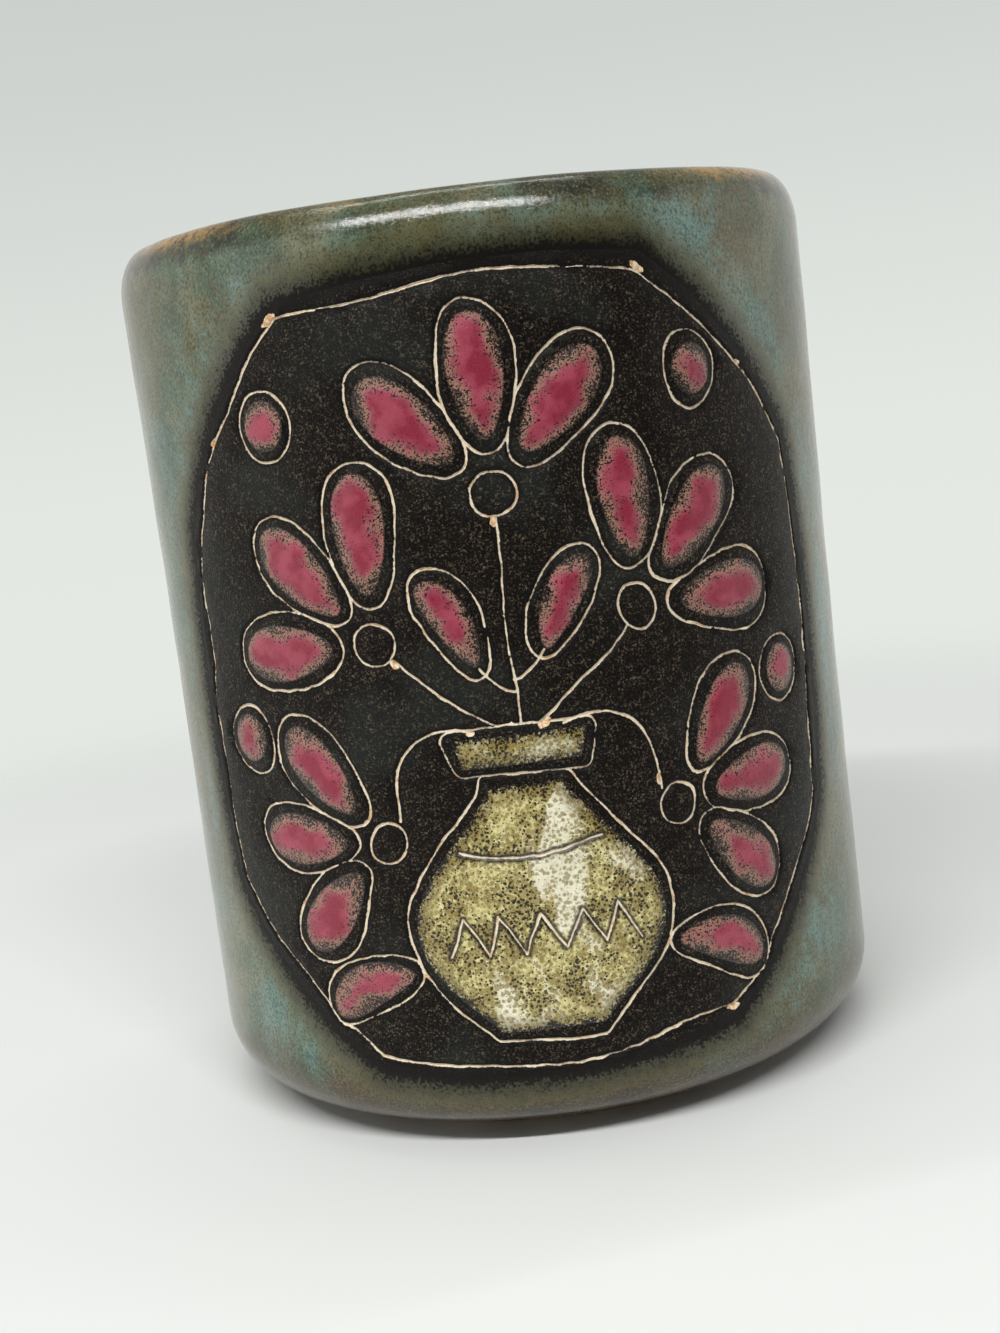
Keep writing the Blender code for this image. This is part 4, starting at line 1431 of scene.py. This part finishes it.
def make_handle(finishes):
    """The handle's glaze: rings swept along its path, ending inside the wall."""
    shape = bmesh.new()
    rings = [list(bmesh.ops.create_circle(shape, segments=HANDLE_SIDES, radius=1.0)["verts"])]
    edges = list(shape.edges)
    path = handle_path()
    for _ in path[1:]:
        ring, edges = next_ring(shape, edges)
        rings.append(ring)
    for verts, (middle, along, growth) in zip(rings, path):
        outward = Vector((0.0, along.z, -along.y))
        for vert in verts:
            turn = math.atan2(vert.co.y, vert.co.x)
            across, out = handle_section(turn, growth)
            vert.co = middle + Vector((across, 0.0, 0.0)) + outward * -out
    for verts in (rings[0], rings[-1]):
        rim = [e for e in shape.edges if e.is_boundary and set(verts).issuperset(e.verts)]
        bmesh.ops.edgeloop_fill(shape, edges=rim)
    bmesh.ops.recalc_face_normals(shape, faces=shape.faces)
    places = np.array([vert.co for vert in shape.verts])
    off_wall = np.hypot(places[:, 0], places[:, 1] - AXIS_Y) - BODY_RADIUS
    clear = smooth_step(off_wall, ROOT_DARK_REACH, ROOT_CLEAR_REACH)
    thin = clear * smooth_step(np.abs(places[:, 0]), *HANDLE_EDGE)
    none = np.zeros(len(places))
    marks = {
        "halo": ROOT_HALO * (1 - smooth_step(off_wall, 0.0, ROOT_DARK_REACH)),
        "ran": none,
        "breaking": HANDLE_BREAKING * thin,
        "amber": HANDLE_AMBER * thin,
        "footing": none,
    }
    piece("glazed_handle", shape, finishes["green"], ["handle_glaze"], marks)


def dress_solids(finishes):
    """Finishes for the solids that stay as they are, inside the coats."""
    kept = {"clay_handle": "clay", "upper_luting_slip": "luting", "lower_luting_slip": "luting"}
    for node, finish in kept.items():
        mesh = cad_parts[node].data
        mesh.materials.clear()
        mesh.materials.append(finishes[finish])


def make_stage():
    """A pale round floor that fades away into the pale surroundings, and can't be seen from below."""
    finish = Finish("paper", 0.9, specular=0.1)
    shade = finish.patches(0.3, 0.7, 300.0, detail=1.0)
    finish.join(finish.blend(shade, PAPER, PAPER_PALE), finish.shader, "Base Color")
    away = finish.node("VectorMath", {"operation": "LENGTH"}, {0: finish.place}, "Value") / MILLIMETRES
    fade = finish.rise(away, FLOOR_FADE_START, FLOOR_RADIUS)
    below = finish.node("NewGeometry", output="Backfacing")
    finish.cover(finish.most(fade, below), finish.node("BsdfTransparent"))
    shape = bmesh.new()
    bmesh.ops.create_circle(shape, cap_ends=True, segments=FLOOR_SIDES, radius=FLOOR_RADIUS)
    face_up(shape)
    mesh = mesh_from("paper_floor", shape)
    mesh.materials.append(finish.material)
    floor = placed("paper_floor", mesh)


def softbox(name, place, size, power):
    """A lamp that points at the middle of the mug."""
    lamp = bpy.data.lights.new(name, "AREA")
    lamp.shape = "RECTANGLE"
    lamp.size, lamp.size_y = size
    lamp.energy = power
    made = placed(name, lamp)
    made.location = place
    made.rotation_euler = (LAMP_TARGET - Vector(place)).to_track_quat("-Z", "Y").to_euler()


def make_surroundings():
    """A pale room, brightest low down at both sides and behind, and dim in front of the panel."""
    world = bpy.data.worlds.new("studio")
    world.use_nodes = True
    room = Nodes(world.node_tree)
    way = room.node("TexCoord", output="Generated")

    def facing(direction, low, high):
        along = room.node("VectorMath", {"operation": "DOT_PRODUCT"}, {0: way, 1: direction}, "Value")
        return room.rise(along, low, high)

    front = facing((0.25, -1.0, 0.0), -0.3, 0.8)
    above = facing((0.0, 0.0, 1.0), 0.2, 0.85)
    light = ROOM_LIGHT * (1 - ROOM_FRONT_DIM * front) * (1 - ROOM_TOP_DIM * above)
    seen = room.node("LightPath", output="Is Camera Ray")
    backdrop = room.blend(facing((0.0, 0.0, 1.0), -0.1, 0.3), BACKDROP_LOW, BACKDROP_HIGH)
    background = world.node_tree.nodes["Background"]
    room.join(room.blend(seen, ROOM_TONE, backdrop), background, "Color")
    room.join(light + (1 - light) * seen, background, "Strength")
    bpy.context.scene.world = world


# Soft daylight from a high window in front and two paler sides: place, size and power in watts
LAMPS = {
    "high_window": ((-0.1, -0.72, 0.86), (1.1, 0.06), 11.0),
    "overhead_strip": ((-0.05, 0.18, 1.15), (0.9, 0.02), 2.0),
    "left_window": ((-1.1, -0.55, 0.3), (0.9, 0.9), 1.8),
    "right_wall": ((1.1, -0.15, 0.3), (0.9, 0.9), 1.2),
}
LAMP_TARGET = Vector((0.0, AXIS_Y, 0.06))


# Camera, fitted to the photographed mug's outline: metres, degrees, pixels and millimetres
CAMERA_DISTANCE = 0.24661
CAMERA_PITCH = 8.65
CAMERA_ROLL = 7.08
CAMERA_RIGHT = 0.00064
CAMERA_UP = 0.00454
FOCAL_PIXELS = 1800.0
PICTURE_HEIGHT = 1333.0
SENSOR = 36.0
NEAREST_SEEN = 0.01


def make_camera():
    """A camera at the photograph's angle: a little above, turned so that the mug leans."""
    pitch, roll = math.radians(CAMERA_PITCH), math.radians(CAMERA_ROLL)
    forward = Vector((0.0, math.cos(pitch), -math.sin(pitch)))
    level_up = Vector((0.0, math.sin(pitch), math.cos(pitch)))
    level_right = Vector((1.0, 0.0, 0.0))
    right = math.cos(roll) * level_right - math.sin(roll) * level_up
    up = math.sin(roll) * level_right + math.cos(roll) * level_up
    centre = Vector((0.0, AXIS_Y, MUG_HEIGHT / 2))
    lens = bpy.data.cameras.new("camera")
    lens.sensor_width = SENSOR
    lens.lens = SENSOR * FOCAL_PIXELS / PICTURE_HEIGHT
    lens.clip_start = NEAREST_SEEN
    camera = placed("camera", lens)
    place = centre - CAMERA_DISTANCE * forward - CAMERA_RIGHT * right - CAMERA_UP * up
    camera.matrix_world = Matrix.Translation(place) @ Matrix((right, up, -forward)).transposed().to_4x4()
    bpy.context.scene.camera = camera


def main():
    finishes = {
        "green": green_glaze(),
        "slip": panel_slip(),
        "rose": rose_glaze(),
        "straw": straw_glaze(),
        "liner": liner_glaze(),
        "base": base_glaze(),
        "clay": stoneware("stoneware_clay", CLAY_TONE, CLAY_SPOT),
        "luting": stoneware("luting_slip", LUTING_TONE, LUTING_SPOT),
    }
    make_outside(finishes)
    make_pools(finishes)
    make_clay(finishes)
    make_liner(finishes)
    make_base(finishes)
    make_handle(finishes)
    dress_solids(finishes)
    make_stage()
    make_surroundings()
    for name, (place, size, power) in LAMPS.items():
        softbox(name, place, size, power)
    make_camera()
    bpy.context.scene.view_settings.view_transform = "Standard"


main()
